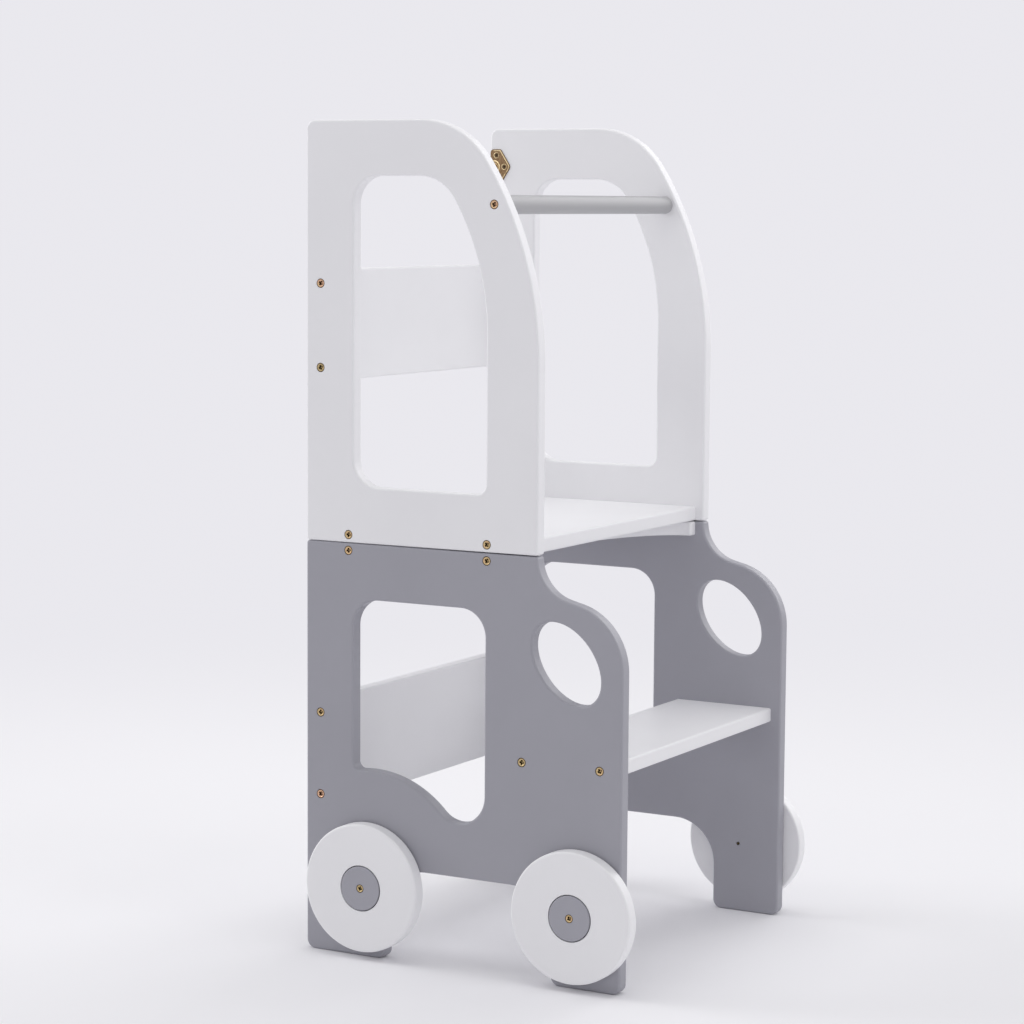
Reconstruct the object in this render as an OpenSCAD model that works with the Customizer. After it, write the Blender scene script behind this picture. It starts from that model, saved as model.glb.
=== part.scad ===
// Toddler kitchen helper stool: a climbing tower in two frames that opens into a small desk.
// The white upper frame stands on the grey, car-shaped lower frame and folds back over a rear hinge.
// Millimetres, +Z up. X runs across the stool and the child climbs in from the front, at -Y.
// The origin lies on the floor, under the middle of the overall box.
// Side outlines are drawn as [depth, height]: depth counts from the panels' rear edges to the front.

/* [Overall] */
// Height of the lower frame, which is also the height of the desk
lower_h = 450; // [430:5:490]
// Width over the outer faces of the side panels
overall_w = 410; // [390:5:450]
// Thickness of every board
board_t = 16; // [15:0.5:18]
// Gap between the two frames at the split
split_gap = 1; // [0.6:0.1:2]
// Gap between the floor and the upper frame once it is folded down
fold_gap = 1; // [0.5:0.5:4]

/* [Upper side panels] */
// Depth of the upper panels
upper_depth = 285; // [280:1:300]
// Radius of the long curve at the front
brow_r = 383; // [340:5:430]
// Angle that the long curve turns through
brow_angle = 33.5; // [30:0.5:37]
// Radius of the curve that runs into the top
crown_r = 96; // [80:2:110]
// Radius of the rear top corner
upper_corner_r = 10; // [4:1:20]
// Material behind the windows
window_rear_rail = 60; // [55:1:64]
// Material in front of the windows
window_front_rail = 62; // [58:1:75]
// Material under the upper window
window_sill = 60; // [50:1:80]
// Material over the upper window
window_head = 59; // [50:1:70]
// Radius of the long curve of the window
window_brow_r = 272; // [250:2:300]
// Angle that the window's long curve turns through
window_brow_angle = 31.6; // [28:0.2:35]
// Radius of the window's front top corner
window_crown_r = 50; // [40:1:60]
// Radius of the window's other large corners
window_corner_r = 30; // [20:1:35]
// Radius of the upper window's front bottom corner
window_toe_r = 12; // [6:1:20]

/* [Lower side panels] */
// How far the bonnet stands in front of the upper panels
bonnet_reach = 101; // [96:1:115]
// Radius of the bonnet's nose
bonnet_r = 70; // [60:1:74]
// Radius of the hollow between windscreen and bonnet
cowl_r = 45; // [36:1:46]
// Length of the headlamp hole
lamp_l = 98; // [80:1:104]
// Width of the headlamp hole
lamp_w = 65; // [50:1:70]
// Lean of the headlamp hole, its top towards the rear
lamp_tilt = 49; // [40:1:60]
// Distance of the headlamp's middle from the front edge
lamp_inset = 66.5; // [60:0.5:72]
// Distance of the headlamp's middle below the split
lamp_drop = 109; // [104:1:120]
// Material over the lower window
lower_window_head = 60; // [50:1:70]
// Radius of the mudguard line over the rear wheel
guard_r = 126; // [115:1:130]
// Radius of the window's corner at the mudguard's rear end
guard_heel_r = 8; // [5:1:12]
// Radius of the window's corner at the mudguard's front end
guard_toe_r = 32; // [24:1:34]
// Height of the arch between the legs
arch_h = 101; // [90:1:110]
// Radius of the arch's corners
arch_r = 50; // [30:1:55]
// Width of the front leg
front_leg_w = 82; // [70:1:90]
// Width of the rear leg
rear_leg_w = 101; // [95:1:115]
// Radius of the corners of the feet
foot_r = 10; // [6:1:14]

/* [Boards between the panels] */
// Distance of the platform's front edge from the upper panel's front edge
platform_inset = 10; // [5:1:20]
// Depth of the hollow in the table board's front edge
belly_depth = 76; // [50:1:90]
// Width of the table board's tips beside the hollow
belly_tip = 11; // [8:1:30]
// Depth of the step
step_depth = 120; // [100:1:128]
// Distance of the step's front edge from the lower panel's front edge
step_inset = 12; // [8:1:20]
// Clear height between the step and the table board
knee_room = 193; // [180:1:205]
// Height of the two back boards
back_board_h = 120; // [110:2:130]
// Distance of the back boards from the rear edges
back_inset = 10; // [6:1:16]
// Distance of the back boards' middles from the floor and from the tower's top
back_board_mid = 218; // [200:1:240]
// Diameter of the grab rail
rail_d = 20; // [18:1:22]
// Distance of the grab rail's axis from the panels' curved front edge
rail_edge = 14.3; // [13:0.1:20]
// Distance of the grab rail's axis below the tower's top
rail_drop = 88; // [80:1:100]

/* [Wood screws] */
// Diameter of the side screws' heads
screw_head_d = 9.8; // [8:0.2:11]
// Diameter of the side screws' shanks
screw_d = 5; // [4:0.5:6]
// Length of the side screws
screw_l = 50; // [40:5:60]
// Distance of the rear pair of platform and table screws from the rear edges
deck_screw_rear = 53.5; // [40:0.5:70]
// Distance of their front pair from the boards' front edges
deck_screw_front = 50.5; // [47:0.5:60]
// Distance of a back board's screws from its long edges
back_screw_edge = 15; // [12:1:25]
// Distance of the step's screws from its edges
step_screw_edge = 14; // [12:1:20]

/* [Play wheels] */
// Diameter of the wheels
wheel_d = 140; // [120:2:144]
// Thickness of the wheels
wheel_t = 16; // [15:0.5:18]
// Gap between the wheels and the floor
wheel_lift = 9; // [6:1:20]
// Distance of the rear axle from the rear edges
rear_axle_depth = 80; // [76:1:84]
// Distance of the front axle from the lower panels' front edges
front_axle_inset = 50.5; // [41:0.5:60]
// Gap between panel and wheel
wheel_gap = 1.2; // [0.9:0.1:2]
// Radius of the wheels' outer rim
wheel_edge_r = 2.5; // [2:0.5:6]
// Diameter of the hub's cap
hub_cap_d = 48; // [40:1:52]
// Diameter of the hub's spigot, which the wheel turns on
spigot_d = 20; // [16:1:24]
// Thickness of the hub's cap
hub_cap_t = 8; // [6:0.5:9]
// Diameter of the hub screws' heads
hub_head_d = 7.6; // [6:0.2:9]
// Diameter of the hub screws' shanks
hub_screw_d = 4; // [3:0.5:5]

/* [Fold hinges] */
// Distance of the hinges' middles from the side panels
hinge_inset = 79; // [40:1:110]
// Length of a hinge
hinge_l = 50; // [40:2:60]
// Height of a hinge leaf
leaf_h = 15; // [13:0.5:15.5]
// Thickness of a hinge leaf
leaf_t = 1.5; // [1.2:0.1:2]
// Diameter of the hinge barrel
barrel_d = 6; // [5:0.5:7]
// Diameter of the hinge pin
hinge_pin_d = 3; // [2.5:0.1:3.5]

/* [Desk latches] */
// Distance of the catch plates' middles below the tower's top
catch_drop = 44.5; // [40:0.5:60]
// Height of a latch plate
latch_h = 41; // [36:1:44]
// Reach of a latch plate from the rear edge
latch_reach = 28; // [24:1:30]
// Thickness of a latch plate
latch_t = 1; // [0.8:0.1:1.5]
// Thickness of the hook
hook_t = 1.6; // [1.2:0.1:2]
// Diameter of the keeper's neck
neck_d = 5; // [4:0.2:6]
// Distance of the hook's pivot from the rear edge
hook_pivot_depth = 8; // [7:0.5:9]

/* [Hidden] */

// A circle with this many sides stands for a true circle
$fn = 96;
// Largest angle between neighbouring points of a drawn arc
arc_step = 4;
// Points closer than this are one point
merge_gap = 0.001;
// How far a cut runs past the face that it opens
overrun = 2;
// Clearance round fixed screws, rivets and washers
fixed_clear = 0.1;
// Clearance between a fixed pin and its bore
press_clear = 0.02;
// Radial clearance of everything that turns on a pin or a spigot
run_clear = 0.05;
// Play along the axis, and least gap between parts that pass each other
play = 0.3;

// Side screws: depth of the head's rim under the face, height of the rim, length of the point
head_sink = 0.2;
head_rim = 0.5;
screw_tip = 8;
hub_screw_tip = 5;
// How far a hub screw's point shows inside the panel
hub_tip_show = 1.5;
// Cross recess in a screw head, as shares of the head's diameter
cross_l_share = 0.52;
cross_w_share = 0.13;
cross_depth_share = 0.24;

// Hubs, wheels and washers
hub_proud = 0.6;
hub_edge_r = 1;
hub_ring_gap = 1;
wheel_back_r = 2;
washer_d = 34;

// Hinge screws: head, shank, length, point, distance between the two
hinge_head_d = 5.6;
hinge_screw_d = 3;
hinge_screw_l = 14;
hinge_screw_tip = 3;
hinge_screw_pitch = 32;
// Length of the middle knuckle and thickness of the pin's end caps
mid_knuckle_l = 17;
pin_cap_t = 0.8;
pin_cap_d = 4.4;

// Latches: rim, top edge, keeper and small screws
latch_edge_gap = 0.5;
latch_flat = 14.5;
latch_rim_w = 1.2;
latch_rim_h = 0.5;
keeper_depth = 5.5;
keeper_head_r = 8.6;
keeper_head_depth = 4.2;
keeper_head_t = 2;
latch_head_d = 5.6;
latch_screw_d = 2.8;
latch_screw_l = 12;
latch_screw_tip = 3;
latch_pair_depth = 8.5;
latch_pair_pitch = 27;
latch_nose_depth = 19;
// Hook: eye, jaw, opening angles, thumb tab, rivet
hook_eye_r = 6;
hook_jaw_w = 3;
hook_lead_angle = 14;
hook_web_angle = 16;
hook_tab_r = 3.2;
rivet_d = 4;
rivet_head_d = 8;
rivet_head_t = 1.5;

// Colours as painted
paint_white = [0.93, 0.93, 0.94];
paint_grey = [0.55, 0.56, 0.6];
brass_colour = [0.78, 0.6, 0.27];
zinc_colour = [0.8, 0.62, 0.32];
felt_colour = [0.85, 0.85, 0.83];

// Planes and axes that several pieces share: across, then upwards, then from rear to front
outer_x = overall_w / 2;
half_in = outer_x - board_t;
upper_z = lower_h + split_gap;
total_h = 2 * lower_h + split_gap - fold_gap;
hinge_z = lower_h + split_gap / 2;
table_z = lower_h - board_t;
step_z = table_z - knee_room;
upper_back_z = total_h - back_board_mid;
lower_back_z = back_board_mid;
rail_z = total_h - rail_drop;
bonnet_z = lower_h - cowl_r - bonnet_r;
lamp_z = lower_h - lamp_drop;
wheel_z = wheel_d / 2 + wheel_lift;
catch_z = total_h - catch_drop;
hook_z = 2 * hinge_z - catch_z;
hinge_stand = barrel_d / 2 + play;
lower_depth = upper_depth + bonnet_reach;
front_axle_depth = lower_depth - front_axle_inset;
front_reach = max(lower_depth, front_axle_depth + wheel_d / 2);
rear_reach = hinge_stand + barrel_d / 2;
rear_y = (front_reach - rear_reach) / 2;
deck_depth = upper_depth - platform_inset;
step_front = lower_depth - step_inset;
back_mid = back_inset + board_t / 2;
window_front = upper_depth - window_front_rail;
// The grab rail keeps its distance from the long curve, whose middle is brow_mid
brow_mid = brow_low(upper_depth, total_h, brow_r, crown_r, brow_angle);
rail_depth = brow_mid[0] + sqrt(pow(brow_r - rail_edge, 2) - pow(rail_z - brow_mid[1], 2));
hinge_screw_rise = board_t / 2 + split_gap / 2;
// Hub screws run through hub, wheel and panel
hub_screw_l = hub_proud + wheel_t + wheel_gap + board_t + hub_tip_show;
// Hook: distances from the panel's inner face, then lengths from its pivot in desk mode
hook_lift = latch_t + latch_rim_h + play;
head_lift = hook_lift + hook_t + play;
hook_throw = hook_pivot_depth + 2 * hinge_stand + keeper_depth;
hook_slot_r = neck_d / 2 + play;
hook_reach = hook_throw + hook_slot_r + hook_jaw_w;

// Where the side screws enter, as [depth, height]
rail_places = [[rail_depth, rail_z]];
back_screw_rise = back_board_h / 2 - back_screw_edge;
upper_back_places = [for (s = [-1, 1]) [back_mid, upper_back_z + s * back_screw_rise]];
lower_back_places = [for (s = [-1, 1]) [back_mid, lower_back_z + s * back_screw_rise]];
deck_screw_depths = [deck_screw_rear, deck_depth - deck_screw_front];
platform_places = [for (d = deck_screw_depths) [d, upper_z + board_t / 2]];
table_places = [for (d = deck_screw_depths) [d, table_z + board_t / 2]];
step_places = [
    for (d = [step_front - step_depth + step_screw_edge, step_front - step_screw_edge])
        [d, step_z - board_t / 2]
];
upper_places = concat(rail_places, upper_back_places, platform_places);
lower_places = concat(table_places, step_places, lower_back_places);
axle_depths = [front_axle_depth, rear_axle_depth];
latch_screw_places = [
    [latch_pair_depth, -latch_pair_pitch / 2], [latch_pair_depth, latch_pair_pitch / 2],
    [latch_nose_depth, 0]
];

// Y of a place that lies this far in front of the rear edges
function y_at(depth) = rear_y - depth;

// Points of an arc round c, from angle a0 to angle a1
function arc(c, r, a0, a1) =
    let (n = max(2, ceil(abs(a1 - a0) / arc_step)))
    [for (i = [0 : n]) let (a = a0 + (a1 - a0) * i / n) [c[0] + r * cos(a), c[1] + r * sin(a)]];

// The same outline with neighbouring points that coincide made one
function merged(p) =
    [for (i = [0 : len(p) - 1]) if (norm(p[i] - p[(i + len(p) - 1) % len(p)]) > merge_gap) p[i]];

// Front edge that leaves the vertical in a long arc and runs into the flat top in a short one:
// the middles of the two arcs, then its points
function brow_low(front, top, r1, r2, sweep) = [front - r1, top - r2 - (r1 - r2) * sin(sweep)];
function brow_high(front, top, r1, r2, sweep) =
    brow_low(front, top, r1, r2, sweep) + (r1 - r2) * [cos(sweep), sin(sweep)];
function brow(front, top, r1, r2, sweep) = concat(
    arc(brow_low(front, top, r1, r2, sweep), r1, 0, sweep),
    arc(brow_high(front, top, r1, r2, sweep), r2, sweep, 90)
);

function ellipse(a, b) = [for (t = [0 : arc_step : 360 - arc_step]) [a * cos(t), b * sin(t)]];

// Mirrors what is built on the right (+X) side to the left when side is -1
module at_side(side) {
    if (side < 0) mirror([1, 0, 0]) children();
    else children();
}

// Stands a drawing in [y, z] upright and gives it the thickness t, from x towards +X
module upright(x, t) {
    translate([x, rear_y, 0]) rotate([90, 0, 90]) linear_extrude(t) children();
}

// The same for a drawing in [depth, z]
module upright_depth(x, t) {
    upright(x, t) mirror([1, 0]) children();
}

// Puts children at [depth, height] on the right panel's outer face, their +Z pointing outwards
module on_panel(p) {
    translate([outer_x, y_at(p[0]), p[1]]) rotate([0, 90, 0]) children();
}

// Countersunk screw whose head lies at z = 0 and whose point looks along -Z
module screw(l, d, head_d, tip) {
    rise = (head_d - d) / 2;
    cross_l = head_d * cross_l_share;
    cross_w = head_d * cross_w_share;
    cross_depth = head_d * cross_depth_share;
    translate([0, 0, -head_sink]) difference() {
        rotate_extrude() polygon([
            [0, 0], [head_d / 2, 0], [head_d / 2, -head_rim], [d / 2, -head_rim - rise],
            [d / 2, tip - l], [0, -l]
        ]);
        for (a = [0, 90])
            rotate(a) translate([-cross_l / 2, -cross_w / 2, -cross_depth])
                cube([cross_l, cross_w, cross_depth + overrun]);
    }
}

// The hole that such a screw sits in
module screw_void(l, d, head_d, tip) {
    rise = (head_d - d) / 2;
    r = d / 2 + fixed_clear;
    rotate_extrude() polygon([
        [0, overrun], [head_d / 2 + fixed_clear, overrun],
        [head_d / 2 + fixed_clear, -head_sink - head_rim], [r, -head_sink - head_rim - rise],
        [r, tip - l - head_sink], [0, -l - head_sink - fixed_clear]
    ]);
}

module side_screw() {
    color(zinc_colour) screw(screw_l, screw_d, screw_head_d, screw_tip);
}

module side_screw_void() {
    screw_void(screw_l, screw_d, screw_head_d, screw_tip);
}

// One screw at each place, on both sides
module side_screws(places) {
    for (side = [-1, 1]) at_side(side) for (p = places) on_panel(p) side_screw();
}

module side_screw_voids(places) {
    for (side = [-1, 1]) at_side(side) for (p = places) on_panel(p) side_screw_void();
}

// Puts children at the head of the right hub's screw at this depth
module on_hub(depth) {
    on_panel([depth, wheel_z]) translate([0, 0, wheel_gap + wheel_t + hub_proud]) children();
}

module hub_screw_void() {
    screw_void(hub_screw_l, hub_screw_d, hub_head_d, hub_screw_tip);
}

// Small latch screws, placed on the plate's face and pointing outwards through the panel
module at_latch_screws(z) {
    for (p = latch_screw_places)
        translate([half_in - latch_t, y_at(p[0]), z + p[1]]) rotate([0, -90, 0]) children();
}

module latch_screw_void() {
    screw_void(latch_screw_l, latch_screw_d, latch_head_d, latch_screw_tip);
}

module upper_outline() {
    polygon(merged(concat(
        [[0, upper_z], [upper_depth, upper_z]],
        brow(upper_depth, total_h, brow_r, crown_r, brow_angle),
        arc([upper_corner_r, total_h - upper_corner_r], upper_corner_r, 90, 180)
    )));
}

module upper_window() {
    rear = window_rear_rail;
    sill = upper_z + window_sill;
    top = total_h - window_head;
    toe = [window_front - window_toe_r, sill + window_toe_r];
    high = brow_high(window_front, top, window_brow_r, window_crown_r, window_brow_angle);
    top_r = min(window_corner_r, high[0] - rear);
    polygon(merged(concat(
        arc([rear + window_corner_r, sill + window_corner_r], window_corner_r, 180, 270),
        arc(toe, window_toe_r, 270, 360),
        brow(window_front, top, window_brow_r, window_crown_r, window_brow_angle),
        arc([rear + top_r, top - top_r], top_r, 90, 180)
    )));
}

module lower_outline() {
    front_leg = lower_depth - front_leg_w;
    cowl = [upper_depth + cowl_r, lower_h];
    nose = [lower_depth - bonnet_r, bonnet_z];
    down = atan2(nose[1] - cowl[1], nose[0] - cowl[0]);
    lean = acos(min(1, (cowl_r + bonnet_r) / norm(nose - cowl)));
    scuttle = down - lean;
    polygon(merged(concat(
        arc([foot_r, foot_r], foot_r, 180, 270),
        arc([rear_leg_w - foot_r, foot_r], foot_r, 270, 360),
        arc([rear_leg_w + arch_r, arch_h - arch_r], arch_r, 180, 90),
        arc([front_leg - arch_r, arch_h - arch_r], arch_r, 90, 0),
        arc([front_leg + foot_r, foot_r], foot_r, 180, 270),
        arc([lower_depth - foot_r, foot_r], foot_r, 270, 360),
        arc(nose, bonnet_r, 0, scuttle + 180),
        arc(cowl, cowl_r, scuttle, -180),
        [[0, lower_h]]
    )));
}

// The lower window's floor follows the mudguard, an arc round the rear axle
module lower_window() {
    axle = [rear_axle_depth, wheel_z];
    top = lower_h - lower_window_head;
    heel_x = window_rear_rail + guard_heel_r;
    toe_x = window_front - guard_toe_r;
    heel_rise = sqrt(pow(guard_r + guard_heel_r, 2) - pow(heel_x - axle[0], 2));
    toe_rise = sqrt(pow(guard_r + guard_toe_r, 2) - pow(toe_x - axle[0], 2));
    heel = [heel_x, axle[1] + heel_rise];
    toe = [toe_x, axle[1] + toe_rise];
    heel_angle = atan2(heel_rise, heel_x - axle[0]);
    toe_angle = atan2(toe_rise, toe_x - axle[0]);
    polygon(merged(concat(
        arc([window_rear_rail + window_corner_r, top - window_corner_r], window_corner_r, 90, 180),
        arc(heel, guard_heel_r, 180, heel_angle + 180),
        arc(axle, guard_r, heel_angle, toe_angle),
        arc(toe, guard_toe_r, toe_angle + 180, 360),
        arc([window_front - window_corner_r, top - window_corner_r], window_corner_r, 0, 90)
    )));
}

module headlamp() {
    translate([lower_depth - lamp_inset, lamp_z])
        rotate(-lamp_tilt) polygon(ellipse(lamp_l / 2, lamp_w / 2));
}

module upper_side(side) {
    color(paint_white) at_side(side) difference() {
        upright_depth(half_in, board_t) difference() {
            upper_outline();
            upper_window();
        }
        for (p = upper_places) on_panel(p) side_screw_void();
        at_latch_screws(catch_z) latch_screw_void();
    }
}

module lower_side(side) {
    color(paint_grey) at_side(side) difference() {
        upright_depth(half_in, board_t) difference() {
            lower_outline();
            lower_window();
            headlamp();
        }
        for (p = lower_places) on_panel(p) side_screw_void();
        for (d = axle_depths) on_hub(d) hub_screw_void();
        at_latch_screws(hook_z) latch_screw_void();
    }
}

// Board between the panels, from depth d0 to depth d1 and from z0 up by h
module cross_board(d0, d1, z0, h) {
    translate([-half_in, y_at(d1), z0]) cube([2 * half_in, d1 - d0, h]);
}

module platform() {
    color(paint_white) difference() {
        cross_board(0, deck_depth, upper_z, board_t);
        side_screw_voids(platform_places);
        hinge_screw_voids(1);
    }
}

module table_board() {
    color(paint_white) difference() {
        cross_board(0, deck_depth, table_z, board_t);
        translate([0, y_at(deck_depth), table_z - overrun])
            linear_extrude(board_t + 2 * overrun) polygon(ellipse(half_in - belly_tip, belly_depth));
        side_screw_voids(table_places);
        hinge_screw_voids(-1);
    }
}

module step_board() {
    color(paint_white) difference() {
        cross_board(step_front - step_depth, step_front, step_z - board_t, board_t);
        side_screw_voids(step_places);
    }
}

module back_board(z, places) {
    color(paint_white) difference() {
        cross_board(back_inset, back_inset + board_t, z - back_board_h / 2, back_board_h);
        side_screw_voids(places);
    }
}

module grab_rail() {
    color(paint_grey) difference() {
        translate([-half_in, y_at(rail_depth), rail_z])
            rotate([0, 90, 0]) cylinder(h = 2 * half_in, d = rail_d);
        side_screw_voids(rail_places);
    }
}

// Wheel with a counterbore for the hub's cap, its back at z = 0
module wheel_body() {
    bore_r = spigot_d / 2 + run_clear;
    well_r = hub_cap_d / 2 + hub_ring_gap;
    well_z = wheel_t - hub_cap_t;
    rotate_extrude() polygon(merged(concat(
        [[bore_r, 0]],
        arc([wheel_d / 2 - wheel_back_r, wheel_back_r], wheel_back_r, -90, 0),
        arc([wheel_d / 2 - wheel_edge_r, wheel_t - wheel_edge_r], wheel_edge_r, 0, 90),
        [[well_r, wheel_t], [well_r, well_z], [bore_r, well_z]]
    )));
}

module wheel(side, depth) {
    color(paint_white) at_side(side) on_panel([depth, wheel_z])
        translate([0, 0, wheel_gap]) wheel_body();
}

// Hub: a spigot that stands on the panel and a cap that holds the wheel on
module hub(side, depth) {
    cap_r = hub_cap_d / 2;
    cap_z = wheel_gap + wheel_t - hub_cap_t + play;
    top_z = wheel_gap + wheel_t + hub_proud;
    color(paint_grey) at_side(side) difference() {
        on_panel([depth, wheel_z]) rotate_extrude() polygon(merged(concat(
            [[0, 0], [spigot_d / 2, 0], [spigot_d / 2, cap_z], [cap_r, cap_z]],
            arc([cap_r - hub_edge_r, top_z - hub_edge_r], hub_edge_r, 0, 90),
            [[0, top_z]]
        )));
        on_hub(depth) hub_screw_void();
    }
}

module wheel_screws() {
    color(zinc_colour) for (side = [-1, 1]) at_side(side) for (d = axle_depths)
        on_hub(d) screw(hub_screw_l, hub_screw_d, hub_head_d, hub_screw_tip);
}

// Felt washer between panel and wheel
module wheel_washers() {
    color(felt_colour) for (side = [-1, 1]) at_side(side) for (d = axle_depths)
        on_panel([d, wheel_z]) difference() {
            cylinder(h = wheel_gap - play, d = washer_d);
            translate([0, 0, -overrun])
                cylinder(h = wheel_gap + 2 * overrun, d = spigot_d + 2 * fixed_clear);
        }
}

// Puts children on a hinge's axis, X along it
module at_hinge(side) {
    translate([side * (half_in - hinge_inset), rear_y + hinge_stand, hinge_z]) children();
}

module along_hinge(x0, x1, r) {
    translate([x0, 0, 0]) rotate([0, 90, 0]) cylinder(h = x1 - x0, r = r);
}

// Screws of one leaf, up = 1 for the upper leaf and -1 for the lower one
module at_leaf_screws(up) {
    for (s = [-1, 1])
        translate([s * hinge_screw_pitch / 2, leaf_t - hinge_stand, up * hinge_screw_rise])
            rotate([-90, 0, 0]) children();
}

module hinge_screw_void() {
    screw_void(hinge_screw_l, hinge_screw_d, hinge_head_d, hinge_screw_tip);
}

module hinge_screw_voids(up) {
    for (side = [-1, 1]) at_hinge(side) at_leaf_screws(up) hinge_screw_void();
}

// The upper leaf carries the middle knuckle, the lower leaf the two outer ones
module hinge_leaf(side, up) {
    end = hinge_l / 2;
    mid = mid_knuckle_l / 2;
    own = up > 0 ? [[-mid, mid]] : [[-end, -mid - play], [mid + play, end]];
    other = up > 0 ? [[-end - overrun, -mid], [mid, end + overrun]] : [[-mid - play, mid + play]];
    bore_r = hinge_pin_d / 2 + (up > 0 ? run_clear : press_clear);
    color(brass_colour) at_hinge(side) difference() {
        union() {
            translate([-end, -hinge_stand, up > 0 ? 0 : -leaf_h]) cube([hinge_l, leaf_t, leaf_h]);
            for (k = own) along_hinge(k[0], k[1], barrel_d / 2);
        }
        for (k = other) along_hinge(k[0], k[1], barrel_d / 2 + play);
        along_hinge(-end - overrun, end + overrun, bore_r);
        at_leaf_screws(up) hinge_screw_void();
    }
}

module hinge_pin(side) {
    end = hinge_l / 2;
    color(brass_colour) at_hinge(side) union() {
        along_hinge(-end, end, hinge_pin_d / 2);
        for (x = [-end - pin_cap_t, end]) along_hinge(x, x + pin_cap_t, pin_cap_d / 2);
    }
}

module hinge_screws(up) {
    color(brass_colour) for (side = [-1, 1]) at_hinge(side) at_leaf_screws(up)
        screw(hinge_screw_l, hinge_screw_d, hinge_head_d, hinge_screw_tip);
}

// Half a hexagon with its straight side at the rear edge, drawn as [depth, height]
module latch_outline(inset) {
    h = latch_h / 2 - inset;
    polygon([
        [latch_edge_gap, -h], [latch_flat, -h], [latch_reach - inset, 0], [latch_flat, h],
        [latch_edge_gap, h]
    ]);
}

// Slab on the right panel's inner face: lift is its distance from that face
module latch_slab(z, lift, t) {
    translate([0, 0, z]) upright_depth(half_in - lift - t, t) children();
}

module latch_plate(z) {
    union() {
        latch_slab(z, 0, latch_t) latch_outline(0);
        latch_slab(z, 0, latch_t + latch_rim_h) difference() {
            latch_outline(0);
            latch_outline(latch_rim_w);
            translate([latch_edge_gap, -latch_h / 2 + latch_rim_w])
                square([latch_flat, latch_h - 2 * latch_rim_w]);
        }
    }
}

// Keeper: a neck that the hook grips, under a head cut flat at the rear edge
module catch_plate(side) {
    color(brass_colour) at_side(side) difference() {
        union() {
            latch_plate(catch_z);
            latch_slab(catch_z, 0, head_lift + keeper_head_t)
                translate([keeper_depth, 0]) circle(d = neck_d);
            latch_slab(catch_z, head_lift, keeper_head_t) intersection() {
                translate([keeper_head_depth, 0]) circle(r = keeper_head_r);
                translate([latch_edge_gap, -keeper_head_r])
                    square([latch_reach, 2 * keeper_head_r]);
            }
        }
        at_latch_screws(catch_z) latch_screw_void();
    }
}

module hook_plate(side) {
    color(brass_colour) at_side(side) difference() {
        latch_plate(hook_z);
        latch_slab(hook_z, -overrun, latch_t + 2 * overrun)
            translate([hook_pivot_depth, 0]) circle(d = rivet_d + 2 * press_clear);
        at_latch_screws(hook_z) latch_screw_void();
    }
}

module latch_screws(z) {
    color(brass_colour) for (side = [-1, 1]) at_side(side) at_latch_screws(z)
        screw(latch_screw_l, latch_screw_d, latch_head_d, latch_screw_tip);
}

module hook_rivet(side) {
    color(brass_colour) at_side(side) union() {
        latch_slab(hook_z, 0, head_lift + rivet_head_t)
            translate([hook_pivot_depth, 0]) circle(d = rivet_d);
        latch_slab(hook_z, head_lift, rivet_head_t)
            translate([hook_pivot_depth, 0]) circle(d = rivet_head_d);
    }
}

// Hook round its pivot, pointing along +x, with a slot that the keeper's neck slides into
module hook_outline() {
    lead = -hook_lead_angle;
    slot_in = hook_throw - hook_slot_r;
    slot_out = hook_throw + hook_slot_r;
    difference() {
        union() {
            circle(r = hook_eye_r);
            polygon(concat([[0, 0]], arc([0, 0], hook_reach, lead, hook_web_angle)));
            rotate(hook_web_angle) translate([slot_out, 0]) circle(r = hook_tab_r);
        }
        polygon(concat(
            arc([0, 0], slot_in, 2 * lead, 0), arc([0, 0], slot_out, 0, 2 * lead)
        ));
        translate([hook_throw, 0]) circle(r = hook_slot_r);
        circle(d = rivet_d + 2 * run_clear);
    }
}

// Stored, the hook hangs down along the rear leg
module catch_hook(side) {
    color(brass_colour) at_side(side) upright(half_in - hook_lift - hook_t, hook_t)
        translate([-hook_pivot_depth, hook_z]) rotate(-90) hook_outline();
}

lower_side(-1);  // left_lower_side
lower_side(1);  // right_lower_side
table_board();
step_board();
back_board(lower_back_z, lower_back_places);  // lower_back_board
side_screws(table_places);  // table_screws
side_screws(step_places);  // step_screws
side_screws(lower_back_places);  // lower_back_screws
upper_side(-1);  // left_upper_side
upper_side(1);  // right_upper_side
back_board(upper_back_z, upper_back_places);  // upper_back_board
platform();
grab_rail();
side_screws(rail_places);  // rail_screws
side_screws(upper_back_places);  // upper_back_screws
side_screws(platform_places);  // platform_screws
wheel(-1, front_axle_depth);  // front_left_wheel
wheel(1, front_axle_depth);  // front_right_wheel
wheel(-1, rear_axle_depth);  // rear_left_wheel
wheel(1, rear_axle_depth);  // rear_right_wheel
hub(-1, front_axle_depth);  // front_left_hub
hub(1, front_axle_depth);  // front_right_hub
hub(-1, rear_axle_depth);  // rear_left_hub
hub(1, rear_axle_depth);  // rear_right_hub
wheel_screws();
wheel_washers();
hinge_leaf(-1, -1);  // left_hinge_lower_leaf
hinge_leaf(1, -1);  // right_hinge_lower_leaf
hinge_leaf(-1, 1);  // left_hinge_upper_leaf
hinge_leaf(1, 1);  // right_hinge_upper_leaf
hinge_pin(-1);  // left_hinge_pin
hinge_pin(1);  // right_hinge_pin
hinge_screws(-1);  // hinge_lower_screws
hinge_screws(1);  // hinge_upper_screws
catch_plate(-1);  // left_catch_plate
catch_plate(1);  // right_catch_plate
latch_screws(catch_z);  // catch_plate_screws
hook_plate(-1);  // left_hook_plate
hook_plate(1);  // right_hook_plate
latch_screws(hook_z);  // hook_plate_screws
hook_rivet(-1);  // left_hook_rivet
hook_rivet(1);  // right_hook_rivet
catch_hook(-1);  // left_catch_hook
catch_hook(1);  // right_catch_hook
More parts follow.
